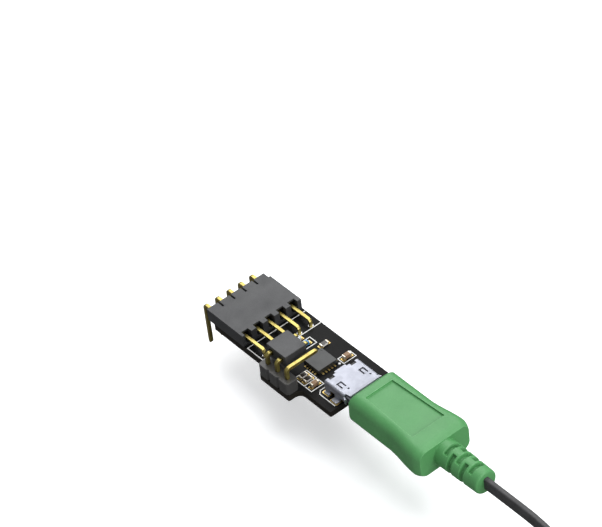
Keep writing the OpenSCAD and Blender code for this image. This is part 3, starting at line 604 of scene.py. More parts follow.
# %% Finish: lead jacket
def build_lead_jacket():
    """Matt dark grey with a fine pebble."""
    finish, tree, shader = start_finish("lead jacket")
    grain = place_effect(tree, mould_grain, Grains_per_metre=4200, Patches_per_metre=500)
    handled = place_effect(tree, handled_surface, Smoothest=0.48, Roughest=0.66)
    colour = blend_colours(
        tree, grain.outputs["Tone"], (0.034, 0.034, 0.035), (0.062, 0.062, 0.064)
    )
    tree.links.new(colour, shader.inputs["Base Color"])
    tree.links.new(handled.outputs["Roughness"], shader.inputs["Roughness"])
    raise_surface(tree, shader, grain.outputs["Height"], 0.01 * MM)
    return finish


lead_jacket = build_lead_jacket()
print("finish", lead_jacket.name)

# %% [markdown]
# ### The board
# A circuit board is woven glass in resin, with a thin black lacquer over it. The weave shows as
# the faintest quilting under the lacquer. Two crossed waves make it. The cut edges show the bare
# glass and resin, which is a little browner and duller, so the finish looks at which way the
# surface faces.

# %% Finish: black board
THREADS_PER_METRE = 700


def build_board_lacquer():
    """Thin black lacquer over a woven sheet, with bare cut edges."""
    finish, tree, shader = start_finish("board lacquer")
    grain = place_effect(tree, mould_grain, Grains_per_metre=5000, Patches_per_metre=400)
    handled = place_effect(tree, handled_surface, Smoothest=0.28, Roughest=0.42)
    corners = place_effect(tree, rubbed_and_highlit_corners, Corner_radius=0.08 * MM, Wear=0.5)
    place = tree.nodes.new("ShaderNodeTexCoord").outputs["Object"]
    threads = []
    for direction in ("X", "Y"):
        wave = tree.nodes.new("ShaderNodeTexWave")
        wave.bands_direction = direction
        wave.inputs["Scale"].default_value = THREADS_PER_METRE
        wave.inputs["Distortion"].default_value = 0.6
        tree.links.new(place, wave.inputs["Vector"])
        threads.append(wave.outputs["Fac"])
    weave = arithmetic(tree, "MULTIPLY", threads[0], threads[1])
    faint_grain = arithmetic(tree, "MULTIPLY", grain.outputs["Height"], 0.35)
    height = arithmetic(tree, "ADD", weave, faint_grain)
    facing = tree.nodes.new("ShaderNodeSeparateXYZ")
    tree.links.new(tree.nodes.new("ShaderNodeNewGeometry").outputs["Normal"], facing.inputs[0])
    cut_edge = add_range(tree, arithmetic(tree, "ABSOLUTE", facing.outputs["Z"], 0), 0.6, 0.2)
    lacquer = blend_colours(
        tree, grain.outputs["Tone"], (0.005, 0.005, 0.005), (0.009, 0.009, 0.009)
    )
    # Lighter corners: partly rubbed lacquer, partly a painted highlight along the edge.
    rubbed_and_lit = blend_colours(tree, corners.outputs["Mask"], lacquer, (0.07, 0.065, 0.055))
    colour = blend_colours(tree, cut_edge, rubbed_and_lit, (0.016, 0.014, 0.011))
    tree.links.new(colour, shader.inputs["Base Color"])
    tree.links.new(handled.outputs["Roughness"], shader.inputs["Roughness"])
    shader.inputs["Specular IOR Level"].default_value = 0.06
    raise_surface(tree, shader, height, 0.0025 * MM)
    return finish


board_lacquer = build_board_lacquer()
print("finish", board_lacquer.name)

# %% [markdown]
# ### Printed ink
# The white marks are screen-printed: a thick ink that is a little uneven at its rim and lets the
# black through in pinholes.

# %% Finish: printed ink
def build_printed_ink():
    """White ink with pinholes."""
    finish, tree, shader = start_finish("printed ink")
    grain = place_effect(tree, mould_grain, Grains_per_metre=9000, Patches_per_metre=2500)
    colour = blend_colours(tree, grain.outputs["Tone"], (0.62, 0.62, 0.6), (0.88, 0.88, 0.86))
    tree.links.new(colour, shader.inputs["Base Color"])
    handled = place_effect(tree, handled_surface, Smoothest=0.5, Roughest=0.65)
    tree.links.new(handled.outputs["Roughness"], shader.inputs["Roughness"])
    raise_surface(tree, shader, grain.outputs["Height"], 0.01 * MM)
    return finish


printed_ink = build_printed_ink()
print("finish", printed_ink.name)

# %% [markdown]
# ### Plated metals
# Gold on the pins, pale blasted nickel on the receptacle, satin nickel on the plug shells, solder
# and tin on the joints. All are metal shaders with the thin plating effect. They differ in colour,
# in how much the spots darken them, and in how wide they spread a reflection.

# %% Recipe for plated metal
def plated(name, bright, dull, smoothest, roughest, depth, lines=4000, spots=900):
    """Metal with drawing lines, dull spots and a patchy shine."""
    finish, tree, shader = start_finish(name)
    plate = place_effect(tree, thin_plating, Lines_per_metre=lines, Spots_per_metre=spots)
    handled = place_effect(
        tree, handled_surface, Patches_per_metre=600, Smoothest=smoothest, Roughest=roughest
    )
    corners = place_effect(tree, rubbed_and_highlit_corners, Corner_radius=0.06 * MM, Wear=0.5)
    toned = blend_colours(tree, plate.outputs["Spots"], bright, dull)
    # Lighter corners: partly rubbed plate, partly a painted highlight along the edge.
    lifted = tuple(min(1, 0.5 + 0.5 * part) for part in bright)
    tree.links.new(
        blend_colours(tree, corners.outputs["Mask"], toned, lifted), shader.inputs["Base Color"]
    )
    tree.links.new(handled.outputs["Roughness"], shader.inputs["Roughness"])
    shader.inputs["Metallic"].default_value = 1
    raise_surface(tree, shader, plate.outputs["Height"], depth)
    return finish


pin_gold = plated("pin gold", (0.5, 0.42, 0.13), (0.36, 0.27, 0.08), 0.3, 0.46, 0.003 * MM)
land_gold = plated("land gold", (0.62, 0.46, 0.16), (0.45, 0.3, 0.1), 0.35, 0.5, 0.004 * MM)
spring_bronze = plated("spring bronze", (0.7, 0.5, 0.22), (0.5, 0.34, 0.14), 0.3, 0.45, 0.003 * MM)
receptacle_nickel = plated("receptacle nickel", (0.47, 0.483, 0.542), (0.422, 0.434, 0.487),
                           0.52, 0.66, 0.002 * MM)
plug_nickel = plated("plug nickel", (0.46, 0.46, 0.5), (0.36, 0.36, 0.4), 0.36, 0.5, 0.002 * MM)
joint_solder = plated("joint solder", (0.72, 0.72, 0.74), (0.56, 0.56, 0.58), 0.2, 0.4,
                      0.01 * MM, lines=2500, spots=1600)
end_tin = plated("end tin", (0.75, 0.7, 0.6), (0.55, 0.5, 0.42), 0.35, 0.5, 0.006 * MM, lines=3000)
metals = (pin_gold, land_gold, spring_bronze, receptacle_nickel, plug_nickel, joint_solder,
          end_tin)
print("plated finishes:", ", ".join(finish.name for finish in metals))

# %% [markdown]
# ### Ceramic, glaze and resin
# Chip capacitors are bare brown ceramic, resistors are white ceramic with a dark glass glaze, and
# the two LEDs are blocks of tinted resin. The moulded recipe gives the ceramics. The resin lets
# some light in, which its transmission gives.

# %% Finishes: ceramic, glaze and resin
brown_ceramic = moulded("brown ceramic", (0.22, 0.13, 0.07), (0.32, 0.2, 0.11),
                        (0.45, 0.33, 0.22), 9000, 0.006 * MM, 0.45, 0.6)
white_ceramic = moulded("white ceramic", (0.68, 0.66, 0.62), (0.78, 0.76, 0.72),
                        (0.9, 0.88, 0.84), 9000, 0.006 * MM, 0.5, 0.65)
dark_glaze = moulded("dark glaze", (0.016, 0.013, 0.011), (0.03, 0.024, 0.02),
                     (0.1, 0.09, 0.08), 4000, 0.004 * MM, 0.12, 0.22)


def build_lens_resin(name, deep, pale):
    """Clear or tinted resin with slight clouds in it."""
    finish, tree, shader = start_finish(name)
    grain = place_effect(tree, mould_grain, Grains_per_metre=2500, Patches_per_metre=1200)
    colour = blend_colours(tree, grain.outputs["Tone"], deep, pale)
    tree.links.new(colour, shader.inputs["Base Color"])
    handled = place_effect(tree, handled_surface, Smoothest=0.12, Roughest=0.24)
    tree.links.new(handled.outputs["Roughness"], shader.inputs["Roughness"])
    shader.inputs["Transmission Weight"].default_value = 0.35
    raise_surface(tree, shader, grain.outputs["Height"], 0.004 * MM)
    return finish


clear_resin = build_lens_resin("clear resin", (0.72, 0.76, 0.78), (0.86, 0.9, 0.92))
blue_resin = build_lens_resin("blue resin", (0.02, 0.2, 0.5), (0.05, 0.32, 0.66))
small_parts = (brown_ceramic, white_ceramic, dark_glaze, clear_resin, blue_resin)
print("finishes of the small parts:", ", ".join(finish.name for finish in small_parts))

# %% [markdown]
# ## Tools for moulded pieces
# Moulded pieces never have knife-sharp corners. Two small tools serve them:
#
# - soften rounds every corner that is sharper than a given angle, and then weights the shading
#   towards the large faces, so that flat faces stay flat to the eye.
# - carve cuts one closed shape out of another.

# %% Tools: round the corners, and cut a shape out
def soften(piece, radius, steps=2, from_angle=30):
    """Rounds the sharp corners of a piece and keeps its flat faces flat in the light."""
    bevel = piece.modifiers.new("rounded corners", "BEVEL")
    bevel.width = radius
    bevel.segments = steps
    bevel.limit_method = "ANGLE"
    bevel.angle_limit = math.radians(from_angle)
    bevel.use_clamp_overlap = True
    bevel.miter_outer = "MITER_ARC"
    piece.data.shade_smooth()
    weigh = piece.modifiers.new("flat faces stay flat", "WEIGHTED_NORMAL")
    weigh.weight = 80
    return piece


def carve(piece, cutter):
    """Cuts a closed shape out of a piece for good, and throws the cutter away."""
    cut = piece.modifiers.new("carve", "BOOLEAN")
    cut.operation = "DIFFERENCE"
    cut.solver = "EXACT"
    cut.object = cutter
    bpy.context.view_layer.update()
    carved = bpy.data.meshes.new_from_object(
        piece.evaluated_get(bpy.context.evaluated_depsgraph_get())
    )
    piece.modifiers.remove(cut)
    piece.data = carved
    bpy.data.objects.remove(cutter)


print("tools ready: soften, carve")

# %% [markdown]
# ## The grip of the USB plug
# The grip is moulded over the metal plug. It is a long rounded box that widens towards the lead,
# so that fingers can pull on it, with a sunk panel on top. Its front leans back a little towards
# the top, and its back edges slope down over a millimetre and a half. A stack of rounded sections
# gives the shape: the sections are dense where the front and back edges curve. A box with a bevel
# would be quicker, but it can't widen along a smooth curve or lean only at one end.

# %% Sizes of the grip
GRIP_FRONT = 37.15 * MM
GRIP_BACK = 55.75 * MM
GRIP_Y = 0.35 * MM
GRIP_Z = 3.3 * MM
GRIP_HEIGHT = 6.3 * MM
GRIP_FRONT_WIDTH = 10.0 * MM
GRIP_BACK_WIDTH = 11.6 * MM
GRIP_CORNER = 1.8 * MM
FRONT_ROUND = 0.6 * MM
BACK_SLOPE = 1.5 * MM
BACK_DROP = 0.5 * MM
FRONT_LEAN = 0.75 * MM
FRONT_LEAN_FADES = 8 * MM
FLARE_START = 47.2 * MM
FLARE_END = 54.3 * MM
LEAST_CORNER = 0.5 * MM
CORNER_SHRINKS = 0.55
BACK_CURVE = 1.6
print("grip is", round((GRIP_BACK - GRIP_FRONT) / MM, 1), "mm long")

# %% [markdown]
# ### One section at a time
# Every section is the same kind of rounded outline, stood up so that it faces along the plug. A
# quarter circle says how much the sections shrink at a rounded end. Near the front, each point is
# pushed back by how far up it is, which makes the lean.

# %% Helpers: one rounded section, a rounded end and the lean
def section(x, y, z, width, height, radius, steps=8):
    """One rounded section that faces along X."""
    outline = rounded_outline(width, height, radius, steps)
    return [Vector((x, y + a, z + b)) for a, b in outline]


def quarter_round(radius, steps):
    """How far along and how far in a rounded end is, from its flat face to its side."""
    quarters = [math.pi / 2 * i / steps for i in range(steps + 1)]
    return [(radius * (1 - math.cos(q)), radius * (1 - math.sin(q))) for q in quarters]


def leaned_back(place):
    """The grip's front leans back a little towards its top."""
    height = max(0, (place.z - GRIP_Z) / (GRIP_HEIGHT / 2))
    near_front = max(0, 1 - (place.x - GRIP_FRONT) / FRONT_LEAN_FADES)
    return place + Vector((FRONT_LEAN * height * height * near_front, 0, 0))


print("a rounded end is", round(quarter_round(FRONT_ROUND, 6)[-1][0] / MM, 2), "mm long")

# %% [markdown]
# ### The grip as a stack
# The stack starts with close sections round the front edge, goes on in wider steps to the back,
# and ends with close ones again on the slope. The flare is an eased step, so the grip widens
# without a corner where the flare starts or stops.

# %% Build the grip
def grip_sections(front_steps=6, middle_steps=26, back_steps=9):
    """The grip's sections from its front to its back."""
    rings = []
    places = [(GRIP_FRONT + along, inset)
              for along, inset in quarter_round(FRONT_ROUND, front_steps)]
    start, end = GRIP_FRONT + FRONT_ROUND, GRIP_BACK - BACK_SLOPE
    places += [(start + (end - start) * i / middle_steps, 0) for i in range(1, middle_steps)]
    places += [(end + BACK_SLOPE * i / back_steps, BACK_DROP * (i / back_steps) ** BACK_CURVE)
               for i in range(back_steps + 1)]
    for x, inset in places:
        flare = eased((x - FLARE_START) / (FLARE_END - FLARE_START))
        width = GRIP_FRONT_WIDTH + (GRIP_BACK_WIDTH - GRIP_FRONT_WIDTH) * flare
        radius = max(LEAST_CORNER, GRIP_CORNER - CORNER_SHRINKS * inset)
        ring = section(x, GRIP_Y, GRIP_Z, width - 2 * inset, GRIP_HEIGHT - 2 * inset, radius)
        rings.append([leaned_back(place) for place in ring])
    return rings


plug_grip = skin("plug_grip_moulded", grip_sections())
print("grip has", len(plug_grip.data.polygons), "faces")

# %% [markdown]
# ### The sunk panel
# The panel on top is a shallow recess that widens towards the lead with the grip. It is cut with
# a wedge, and its rim is rounded afterwards, as a mould would leave it.

# %% Cut the sunk panel and round its rim
PANEL_FRONT = 39.8 * MM
PANEL_BACK = 52 * MM
PANEL_HALF_FRONT = 2.9 * MM
PANEL_HALF_BACK = 3.5 * MM
PANEL_DEPTH = 0.36 * MM
GRIP_RIM = 0.1 * MM


def sunk_panel_cutter():
    """A wedge that is wider at the back, for the sunk panel."""
    floor, above = GRIP_Z + GRIP_HEIGHT / 2 - PANEL_DEPTH, GRIP_Z + GRIP_HEIGHT
    outline = [(PANEL_FRONT, -PANEL_HALF_FRONT), (PANEL_BACK, -PANEL_HALF_BACK),
               (PANEL_BACK, PANEL_HALF_BACK), (PANEL_FRONT, PANEL_HALF_FRONT)]
    return skin("panel_cutter", [
        [Vector((x, GRIP_Y + y, z)) for x, y in outline] for z in (floor, above)
    ])


carve(plug_grip, sunk_panel_cutter())
soften(plug_grip, GRIP_RIM, steps=3, from_angle=50)
assign(plug_grip, "usb_plug", "green_grip", "plug_grip")
print("grip with its panel has", len(plug_grip.data.polygons), "faces before its rims are round")

# %% [markdown]
# ## The strain relief
# The relief is a tapered tube moulded in one piece with the grip. Slots run part of the way
# round it, over and under, and then on both sides, in turn, so that it bends easily and spreads
# the lead's bend over its whole length.
#
# Boxes could cut the slots, but their floors would be flat, and a mould's are round. So the tube
# is drawn as a fine net of points about the lead's axis, and each point asks how far out it
# stands: the tube's own radius, less the depth of a slot if it lies in one. The sides of a slot
# slope over a tenth of a millimetre, which rounds its edges as well.

# %% Helpers: a soft-edged step and a profile
# Lengths in this step are in millimetres
SLOT_DEPTH = 0.72
SLOT_WIDE = 0.92
SLOT_EDGE = 0.13
CORE_RADIUS = 1.0
TOP_SLOT_REACH = math.radians(41)
SIDE_SLOT_REACH = math.radians(72)


def soft_box(value, middle, half_width, edge):
    """1 inside a span, 0 outside it, with a smooth step of a given width at each end."""
    return eased((half_width - abs(value - middle)) / edge + 0.5)


def profile_radius(profile, along):
    """The radius at a distance along the tube, between the profile's points."""
    for (a, radius_a), (b, radius_b) in zip(profile, profile[1:]):
        if along <= b:
            return radius_a + (radius_b - radius_a) * (along - a) / (b - a)
    return profile[-1][1]


print("slots are", SLOT_DEPTH, "mm deep and", SLOT_WIDE, "mm wide")

# %% [markdown]
# ### The net of points
# The net is a skin over many rings, and the slots are in the rings' radii. One more ring at each
# end, as narrow as the core inside, gives the tube flat ends with a crisp rim.

# %% Helper: a slotted tube
def ring_of_points(start, along, radii):
    """Points about the lead's axis, one for each radius, at a distance along it."""
    ring = []
    for column, radius in enumerate(radii):
        angle = math.tau * column / len(radii)
        offset = Vector((along, radius * math.cos(angle), radius * math.sin(angle)))
        ring.append(start + offset * MM)
    return ring


def slot_cut(angle, over, side, soft_end):
    """How deep a slot is at an angle, from 0 to 1: over and under, or at the sides."""
    from_side = min(angle % math.pi, math.pi - angle % math.pi)
    return max(over * soft_box(math.pi / 2 - from_side, 0, TOP_SLOT_REACH, soft_end),
               side * soft_box(from_side, 0, SIDE_SLOT_REACH, soft_end))


def slotted_tube(name, start, profile, over_slots, side_slots, columns=128, spacing=0.06):
    """A tapered tube along +X with round-floored slots."""
    length = profile[-1][0]
    rows = int(length / spacing)
    angles = [math.tau * column / columns for column in range(columns)]
    core = [CORE_RADIUS] * columns
    rings = [ring_of_points(start, 0, core)]
    for row in range(rows + 1):
        along = length * row / rows
        radius = profile_radius(profile, along)
        over = max(soft_box(along, s, SLOT_WIDE / 2, SLOT_EDGE) for s in over_slots)
        side = max(soft_box(along, s, SLOT_WIDE / 2, SLOT_EDGE) for s in side_slots)
        radii = [radius - SLOT_DEPTH * slot_cut(angle, over, side, SLOT_EDGE / radius)
                 for angle in angles]
        rings.append(ring_of_points(start, along, radii))
    rings.append(ring_of_points(start, length, core))
    tube = skin(name, rings)
    smooth_up_to(tube, 60)
    return tube


print("a slotted tube can be made")

# %% [markdown]
# ### The relief on the near plug
# Its profile falls from the grip's end to a rounded lip, and five slots alternate along it.

# %% Model the strain relief
RELIEF_PROFILE = [
    (0.0, 2.5), (0.25, 2.46), (2.5, 2.42), (5.0, 2.36), (8.0, 2.28), (9.5, 2.24), (9.7, 2.17),
    (9.8, 2.06), (9.85, 1.9),
]
OVER_SLOTS = [1.95, 4.8, 7.7]
SIDE_SLOTS = [3.4, 6.25]
relief_start = Vector((GRIP_BACK, GRIP_Y, GRIP_Z))
strain_relief = slotted_tube("strain_relief_moulded", relief_start, RELIEF_PROFILE,
                             OVER_SLOTS, SIDE_SLOTS)
assign(strain_relief, "usb_plug", "green_grip", "plug_strain_relief")
print("strain relief has", len(OVER_SLOTS) * 2 + len(SIDE_SLOTS) * 2, "slots")

# %% [markdown]
# ## The host plug
# At the far end is the ordinary flat plug that goes into a computer. Its grip is built like the
# first one, larger and straighter, and tapered where it meets its own strain relief. It is drawn
# along its own length first, with the lead's entry at zero, and then laid on the hank.

# %% Sizes of the host plug's grip
HOST_RELIEF_LENGTH = 7 * MM
HOST_GRIP_LENGTH = 20 * MM
HOST_WIDTH = 16 * MM
HOST_HEIGHT = 8 * MM
HOST_CORNER = 2 * MM
HOST_LEAST_CORNER = 0.6 * MM
HOST_CORNER_SHRINKS = 0.6
HOST_REAR_ROUND = 1.1 * MM
HOST_FRONT_ROUND = 0.7 * MM
HOST_TAPER_LENGTH = 7 * MM
HOST_TAPER_WIDTH = 3.6 * MM
HOST_TAPER_HEIGHT = 0.9 * MM


def on_hank(along, across=0.0, up=0.0):
    """A place on the host plug, from distances along its length, across it and up."""
    return HOST_ENTRY + Vector((along, across, up))


print("host grip starts at", [round(v, 4) for v in on_hank(HOST_RELIEF_LENGTH)])

# %% [markdown]
# ### The host grip as a stack
# It is stacked in the same way. Here both ends are rounded, and the taper narrows the sections
# towards the lead, more across than in height.

# %% Build the host plug's grip
def host_sections(end_steps=7, middle_steps=24):
    """Rounded sections from the strain relief's end to the metal end."""
    rings = []
    places = quarter_round(HOST_REAR_ROUND, end_steps)
    straight = HOST_GRIP_LENGTH - HOST_REAR_ROUND - HOST_FRONT_ROUND
    places += [(HOST_REAR_ROUND + straight * i / middle_steps, 0)
               for i in range(1, middle_steps)]
    places += [(HOST_GRIP_LENGTH - inset, along)
               for along, inset in quarter_round(HOST_FRONT_ROUND, end_steps)]
    for along, inset in places:
        taper = 1 - eased(along / HOST_TAPER_LENGTH)
        width = HOST_WIDTH - HOST_TAPER_WIDTH * taper - 2 * inset
        height = HOST_HEIGHT - HOST_TAPER_HEIGHT * taper - 2 * inset
        radius = max(HOST_LEAST_CORNER, HOST_CORNER - HOST_CORNER_SHRINKS * inset)
        outline = rounded_outline(width, height, radius, 8)
        rings.append([on_hank(HOST_RELIEF_LENGTH + along, a, b) for a, b in outline])
    return rings


host_grip = skin("host_grip_moulded", host_sections())
print("host grip has", len(host_grip.data.polygons), "faces")

# %% [markdown]
# ### The host grip's panel
# This panel is a plain rectangle, so a box cuts it. The box is a skin over two square rings.

# %% Cut the host grip's panel
HOST_PANEL_START = 13 * MM
HOST_PANEL_END = 24.5 * MM
HOST_PANEL_HALF = 4.8 * MM
HOST_PANEL_DEPTH = 0.3 * MM
HOST_GRIP_RIM = 0.12 * MM


def box_mesh(name, low, high):
    """A closed box between two corners, used as a cutter."""
    ring = [(low[1], low[2]), (high[1], low[2]), (high[1], high[2]), (low[1], high[2])]
    return skin(name, [[Vector((x, y, z)) for y, z in ring] for x in (low[0], high[0])])


panel_low = on_hank(HOST_PANEL_START, -HOST_PANEL_HALF, HOST_HEIGHT / 2 - HOST_PANEL_DEPTH)
panel_high = on_hank(HOST_PANEL_END, HOST_PANEL_HALF, HOST_HEIGHT)
carve(host_grip, box_mesh("panel_cutter", panel_low, panel_high))
soften(host_grip, HOST_GRIP_RIM, steps=3, from_angle=50)
assign(host_grip, "usb_plug", "green_grip", "host_grip")
print("host grip with its panel has", len(host_grip.data.polygons), "faces")

# %% [markdown]
# ### The host plug's strain relief
# It is the same kind of slotted tube, turned the other way: narrow where the lead comes in, and
# wide where it meets the grip.

# %% Model the host plug's strain relief
HOST_RELIEF_PROFILE = [
    (0, 1.7), (0.06, 1.9), (0.2, 2.05), (0.6, 2.15), (3, 2.3), (6.3, 2.5), (6.8, 2.6), (7.02, 2.8),
]
HOST_OVER_SLOTS = [2.0, 4.8]
HOST_SIDE_SLOTS = [3.4]
host_relief = slotted_tube("host_relief_moulded", HOST_ENTRY, HOST_RELIEF_PROFILE,
                           HOST_OVER_SLOTS, HOST_SIDE_SLOTS)
assign(host_relief, "usb_plug", "green_grip", "host_strain_relief")
print("host relief has", len(host_relief.data.polygons), "faces")

# %% [markdown]
# ## Pieces that only need softer corners
# Stamped and moulded pieces with flat faces are already the right shape in the solid model. Each
# gets a crisp copy with corners rounded by a few hundredths of a millimetre. It is a small change,
# but a rounded corner catches a thin line of light, and that line is what makes a piece look real.
#
# A solid's faces come in triangles. Two flat neighbours have no corner to round, so the copy
# first joins the triangles of each flat face into one.

# %% Helpers: a crisp copy, and a finish for a whole piece
SAME_PLACE = 2e-6
FLAT_WITHIN = math.radians(0.8)


def crisp_copy(name, nodes, radius):
    """One softened mesh made from the faces of some solids."""
    bm = bmesh.new()
    for node in nodes:
        bm.from_mesh(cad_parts[node].data)
    bmesh.ops.remove_doubles(bm, verts=bm.verts, dist=SAME_PLACE)
    bmesh.ops.dissolve_limit(bm, angle_limit=FLAT_WITHIN, verts=bm.verts, edges=bm.edges)
    mesh = bpy.data.meshes.new(name)
    bm.to_mesh(mesh)
    bm.free()
    for layer in [a for a in mesh.attributes if a.name == "custom_normal"]:
        mesh.attributes.remove(layer)
    piece = bpy.data.objects.new(name, mesh)
    bpy.context.scene.collection.objects.link(piece)
    return soften(piece, radius)


def dress(piece, finish):
    """Puts one finish on every face of a piece."""
    if not piece.material_slots:
        piece.data.materials.append(finish)
    for slot in piece.material_slots:
        slot.material = finish


print("solids can be copied and dressed")

# %% [markdown]
# ### The list of crisp copies
# Each row names a copy, the solids that it is made from, how round its corners are, what it rides
# on and what it is made of. Moulded caps have corners of about a tenth of a millimetre, and
# stamped metal and ceramic about half of that or less. One loop then makes them all.

# %% Crisp copies of the stamped and moulded pieces
CRISP = [
    # new name, solids, corner radius in mm, body, material slot, finish
    ("bent_pins", ["breadboard_pins"], 0.05, "pins", "gold_pin", pin_gold),
    ("board_core", ["circuit_board"], 0.05, "board", "board_black", board_lacquer),
    ("socket_body", ["socket_housing"], 0.1, "board", "black_housing", housing_black),
    ("socket_springs", ["socket_contacts"], 0.04, "board", "gold_pin", pin_gold),
    ("header_block", ["header_base"], 0.1, "board", "black_housing", header_black),
    ("header_bent_pins", ["header_pins"], 0.05, "board", "gold_pin", pin_gold),
    ("bridge_chip_body", ["bridge_chip"], 0.05, "board", "chip_black", chip_black),
    ("clear_led_lens", ["led_clear"], 0.06, "board", "clear_lens", clear_resin),
    ("blue_led_lens", ["led_blue"], 0.06, "board", "blue_lens", blue_resin),
    ("led_ends", ["led_terminals"], 0.03, "board", "gold_pin", land_gold),
    ("capacitor_cores", ["capacitor_bodies"], 0.05, "board", "brown_ceramic", brown_ceramic),
    ("capacitor_caps", ["capacitor_ends"], 0.06, "board", "tinned_end", end_tin),
    ("resistor_cores", ["resistor_bodies"], 0.02, "board", "white_ceramic", white_ceramic),
    ("resistor_caps", ["resistor_ends"], 0.04, "board", "tinned_end", end_tin),
    ("receptacle_can", ["receptacle_shell"], 0.05, "board", "usb_steel", receptacle_nickel),
    ("shunt_cap", ["jumper_housing"], 0.12, "jumper", "black_housing", housing_black),
    ("shunt_clip", ["jumper_clip"], 0.03, "jumper", "spring_brass", spring_bronze),
    ("plug_can", ["plug_shell"], 0.04, "usb_plug", "plug_steel", plug_nickel),
    ("hank_band", ["hank_tie"], 0.1, "usb_plug", "tie_black", tie_black),
    ("host_can", ["host_shell"], 0.06, "usb_plug", "plug_steel", plug_nickel),
]
for name, nodes, corner, body, slot, finish in CRISP:
    piece = crisp_copy(name, nodes, corner * MM)
    assign(piece, body, slot, *nodes)
    dress(piece, finish)
print("crisp copies:", len(CRISP))

# %% [markdown]
# ### A thin ring
# The host plug's mouth is a thin square ring, and it is one flat face that runs all the way round
# the opening. Where two rounded edges meet, round miters would fold that face over the mouth and
# close it. Plain miters keep it open.

# %% Plain miters on the host plug's shell
host_can = bpy.data.objects["host_can"]
host_can.modifiers["rounded corners"].miter_outer = "MITER_SHARP"
print(host_can.name, "has", host_can.modifiers["rounded corners"].miter_outer.lower(), "corners")

# %% [markdown]
# ### Finishes for the lead and the grips
# The pieces that were built point by point have no finish yet. Lead and grips get theirs here.

# %% Finishes for the built pieces
BUILT = (
    (flat_lead, lead_jacket), (plug_grip, grip_green), (strain_relief, grip_green),
    (host_grip, grip_green), (host_relief, grip_green),
)
for piece, finish in BUILT:
    dress(piece, finish)
print("built pieces:", ", ".join(piece.name for piece, finish in BUILT))

# %% [markdown]
# ## Solids that stay as they are
# Prints, lands, terminals and the hidden insides are too thin or too small for rounded corners to
# show. They keep the solid model's shape and only get a finish.

# %% Finishes for the solids that stay
KEPT = {
    "silkscreen": printed_ink,
    "solder_pads": land_gold,
    "socket_solder": joint_solder,
    "header_solder": joint_solder,
    "chip_terminals": land_gold,
    "resistor_coats": dark_glaze,
    "receptacle_tongue": tongue_black,
    "receptacle_contacts": pin_gold,
    "plug_inner_mould": core_white,
    "plug_insulator": tongue_black,
    "plug_contacts": pin_gold,
    "plug_latches": plug_nickel,
    "host_inner_mould": core_white,
    "host_insulator": insert_white,
    "host_contacts": pin_gold,
}
for node, finish in KEPT.items():
    dress(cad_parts[node], finish)
print("solids kept:", len(KEPT))

# %% [markdown]
# ## What the lead is
# A lead is a fixed length of something flexible.

# %% [markdown]
# ## Floor
# The floor is plain and pale, at the table's height under the lead. A white floor would throw so
# much light back up that the black pieces turn grey from below. A studio solves this with black
# cards beside the object. Here the floor does the same job: it is pale to the eye, but greyer for
# light that bounces off it, and darker still where a shiny piece mirrors it.

# %% Finish: studio floor
FLOOR_SEEN = (0.93, 0.935, 0.94)
FLOOR_BOUNCED = (0.5, 0.5, 0.5)
FLOOR_MIRRORED = (0.1, 0.1, 0.1)
FLOOR_LIFT = 0.3


def build_floor_finish():
    """Pale to the eye, grey to bounced light, dark in mirrors."""
    finish, tree, shader = start_finish("studio floor")
    path = tree.nodes.new("ShaderNodeLightPath")
    unseen = blend_colours(tree, path.outputs["Is Glossy Ray"], FLOOR_BOUNCED, FLOOR_MIRRORED)
    colour = blend_colours(tree, path.outputs["Is Camera Ray"], unseen, FLOOR_SEEN)
    tree.links.new(colour, shader.inputs["Base Color"])
    lift = arithmetic(tree, "MULTIPLY", path.outputs["Is Camera Ray"], FLOOR_LIFT)
    tree.links.new(lift, shader.inputs["Emission Strength"])
    shader.inputs["Emission Color"].default_value = (1, 1, 1, 1)
    shader.inputs["Roughness"].default_value = 0.8
    shader.inputs["Specular IOR Level"].default_value = 0.2
    return finish


print("floor finish is", FLOOR_SEEN[0], "pale to the eye")

# %% [markdown]
# ### The floor's shape
# The floor is one wide disc, so it has no corners that could show against the room. It lies at
# the height of the table that the hank rests on.

# %% Lay the floor
TABLE_Z = -9.42 * MM


def lay_floor(radius=3, corners=96):
    """A wide pale disc at the table's height."""
    bm = bmesh.new()
    rim = []
    for i in range(corners):
        angle = math.tau * i / corners
        rim.append(bm.verts.new((radius * math.cos(angle), radius * math.sin(angle), TABLE_Z)))
    bm.faces.new(rim)
    mesh = bpy.data.meshes.new("studio_floor")
    bm.to_mesh(mesh)
    bm.free()
    floor = bpy.data.objects.new("studio_floor", mesh)
    bpy.context.scene.collection.objects.link(floor)
    dress(floor, build_floor_finish())


lay_floor()
print("floor at", round(TABLE_Z, 5), "m")

# %% [markdown]
# ## Lamps
# Three large soft lamps light the object. The first hangs above and a little behind it, and
# gives the tops their brightness. The second stands beyond the lead's end and lights the faces
# that look that way. The third stands at the far side, just where the flat tops mirror it: it
# gives matt black plastic the grey bloom that it has under a bright ceiling.

# %% Hang the lamps
OBJECT_MIDDLE = (0.035, 0.0, 0.0)


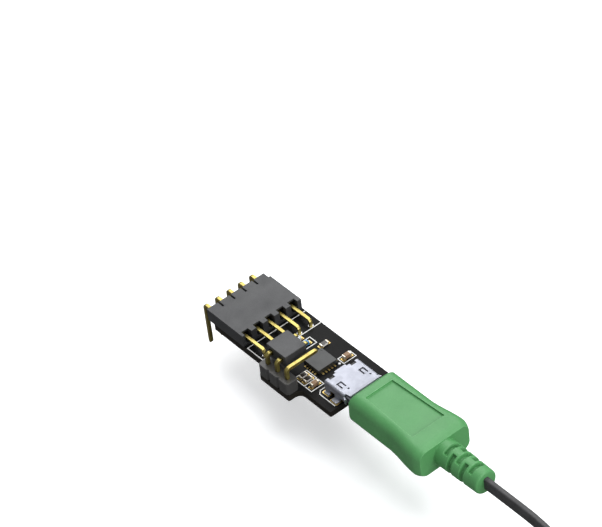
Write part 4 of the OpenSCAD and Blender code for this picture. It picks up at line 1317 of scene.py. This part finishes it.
def hang_lamp(name, place, size, power):
    """A square soft lamp that faces the middle of the object."""
    lamp_data = bpy.data.lights.new(name, "AREA")
    lamp_data.shape = "SQUARE"
    lamp_data.size = size
    lamp_data.energy = power
    lamp = bpy.data.objects.new(name, lamp_data)
    bpy.context.scene.collection.objects.link(lamp)
    towards = (Vector(OBJECT_MIDDLE) - Vector(place)).to_track_quat("-Z", "Y")
    lamp.matrix_world = Matrix.Translation(place) @ towards.to_matrix().to_4x4()


# Name, place, width and power of each lamp
LAMPS = (
    ("overhead_softbox", (0.1, 0.3, 1.0), 0.9, 7.5),
    ("lead_end_softbox", (1.0, 0.1, 0.4), 0.7, 7.5),
    ("far_softbox", (-0.75, 0.5, 0.75), 0.8, 6.0),
)
for lamp in LAMPS:
    hang_lamp(*lamp)
print("soft lamps:", len(LAMPS))

# %% [markdown]
# ### The room
# Light also comes from the walls. An even pale room is enough for that. It is dimmer in mirrors
# than it is to the eye, so that the metal keeps some dark in it. The plain display transform
# keeps colours as they are, where a film-like one would grey the whites.

# %% Paint the room
ROOM_SEEN = 0.95
ROOM_FILL = 0.5
ROOM_MIRRORED = 0.3
ROOM_COLOUR = (0.95, 0.97, 1, 1)


def paint_room():
    """An even pale room, dimmer in mirrors than it is to the eye."""
    room = bpy.data.worlds.new("pale_room")
    room.use_nodes = True
    tree = room.node_tree
    path = tree.nodes.new("ShaderNodeLightPath")
    glossy = add_range(tree, path.outputs["Is Glossy Ray"], 0, 1, ROOM_FILL, ROOM_MIRRORED)
    strength = tree.nodes.new("ShaderNodeMix")
    tree.links.new(path.outputs["Is Camera Ray"], strength.inputs[0])
    tree.links.new(glossy, strength.inputs[2])
    strength.inputs[3].default_value = ROOM_SEEN
    background = tree.nodes["Background"]
    background.inputs["Color"].default_value = ROOM_COLOUR
    tree.links.new(strength.outputs[0], background.inputs["Strength"])
    bpy.context.scene.world = room


paint_room()
bpy.context.scene.view_settings.view_transform = "Standard"
print("pale room, strength", ROOM_FILL)
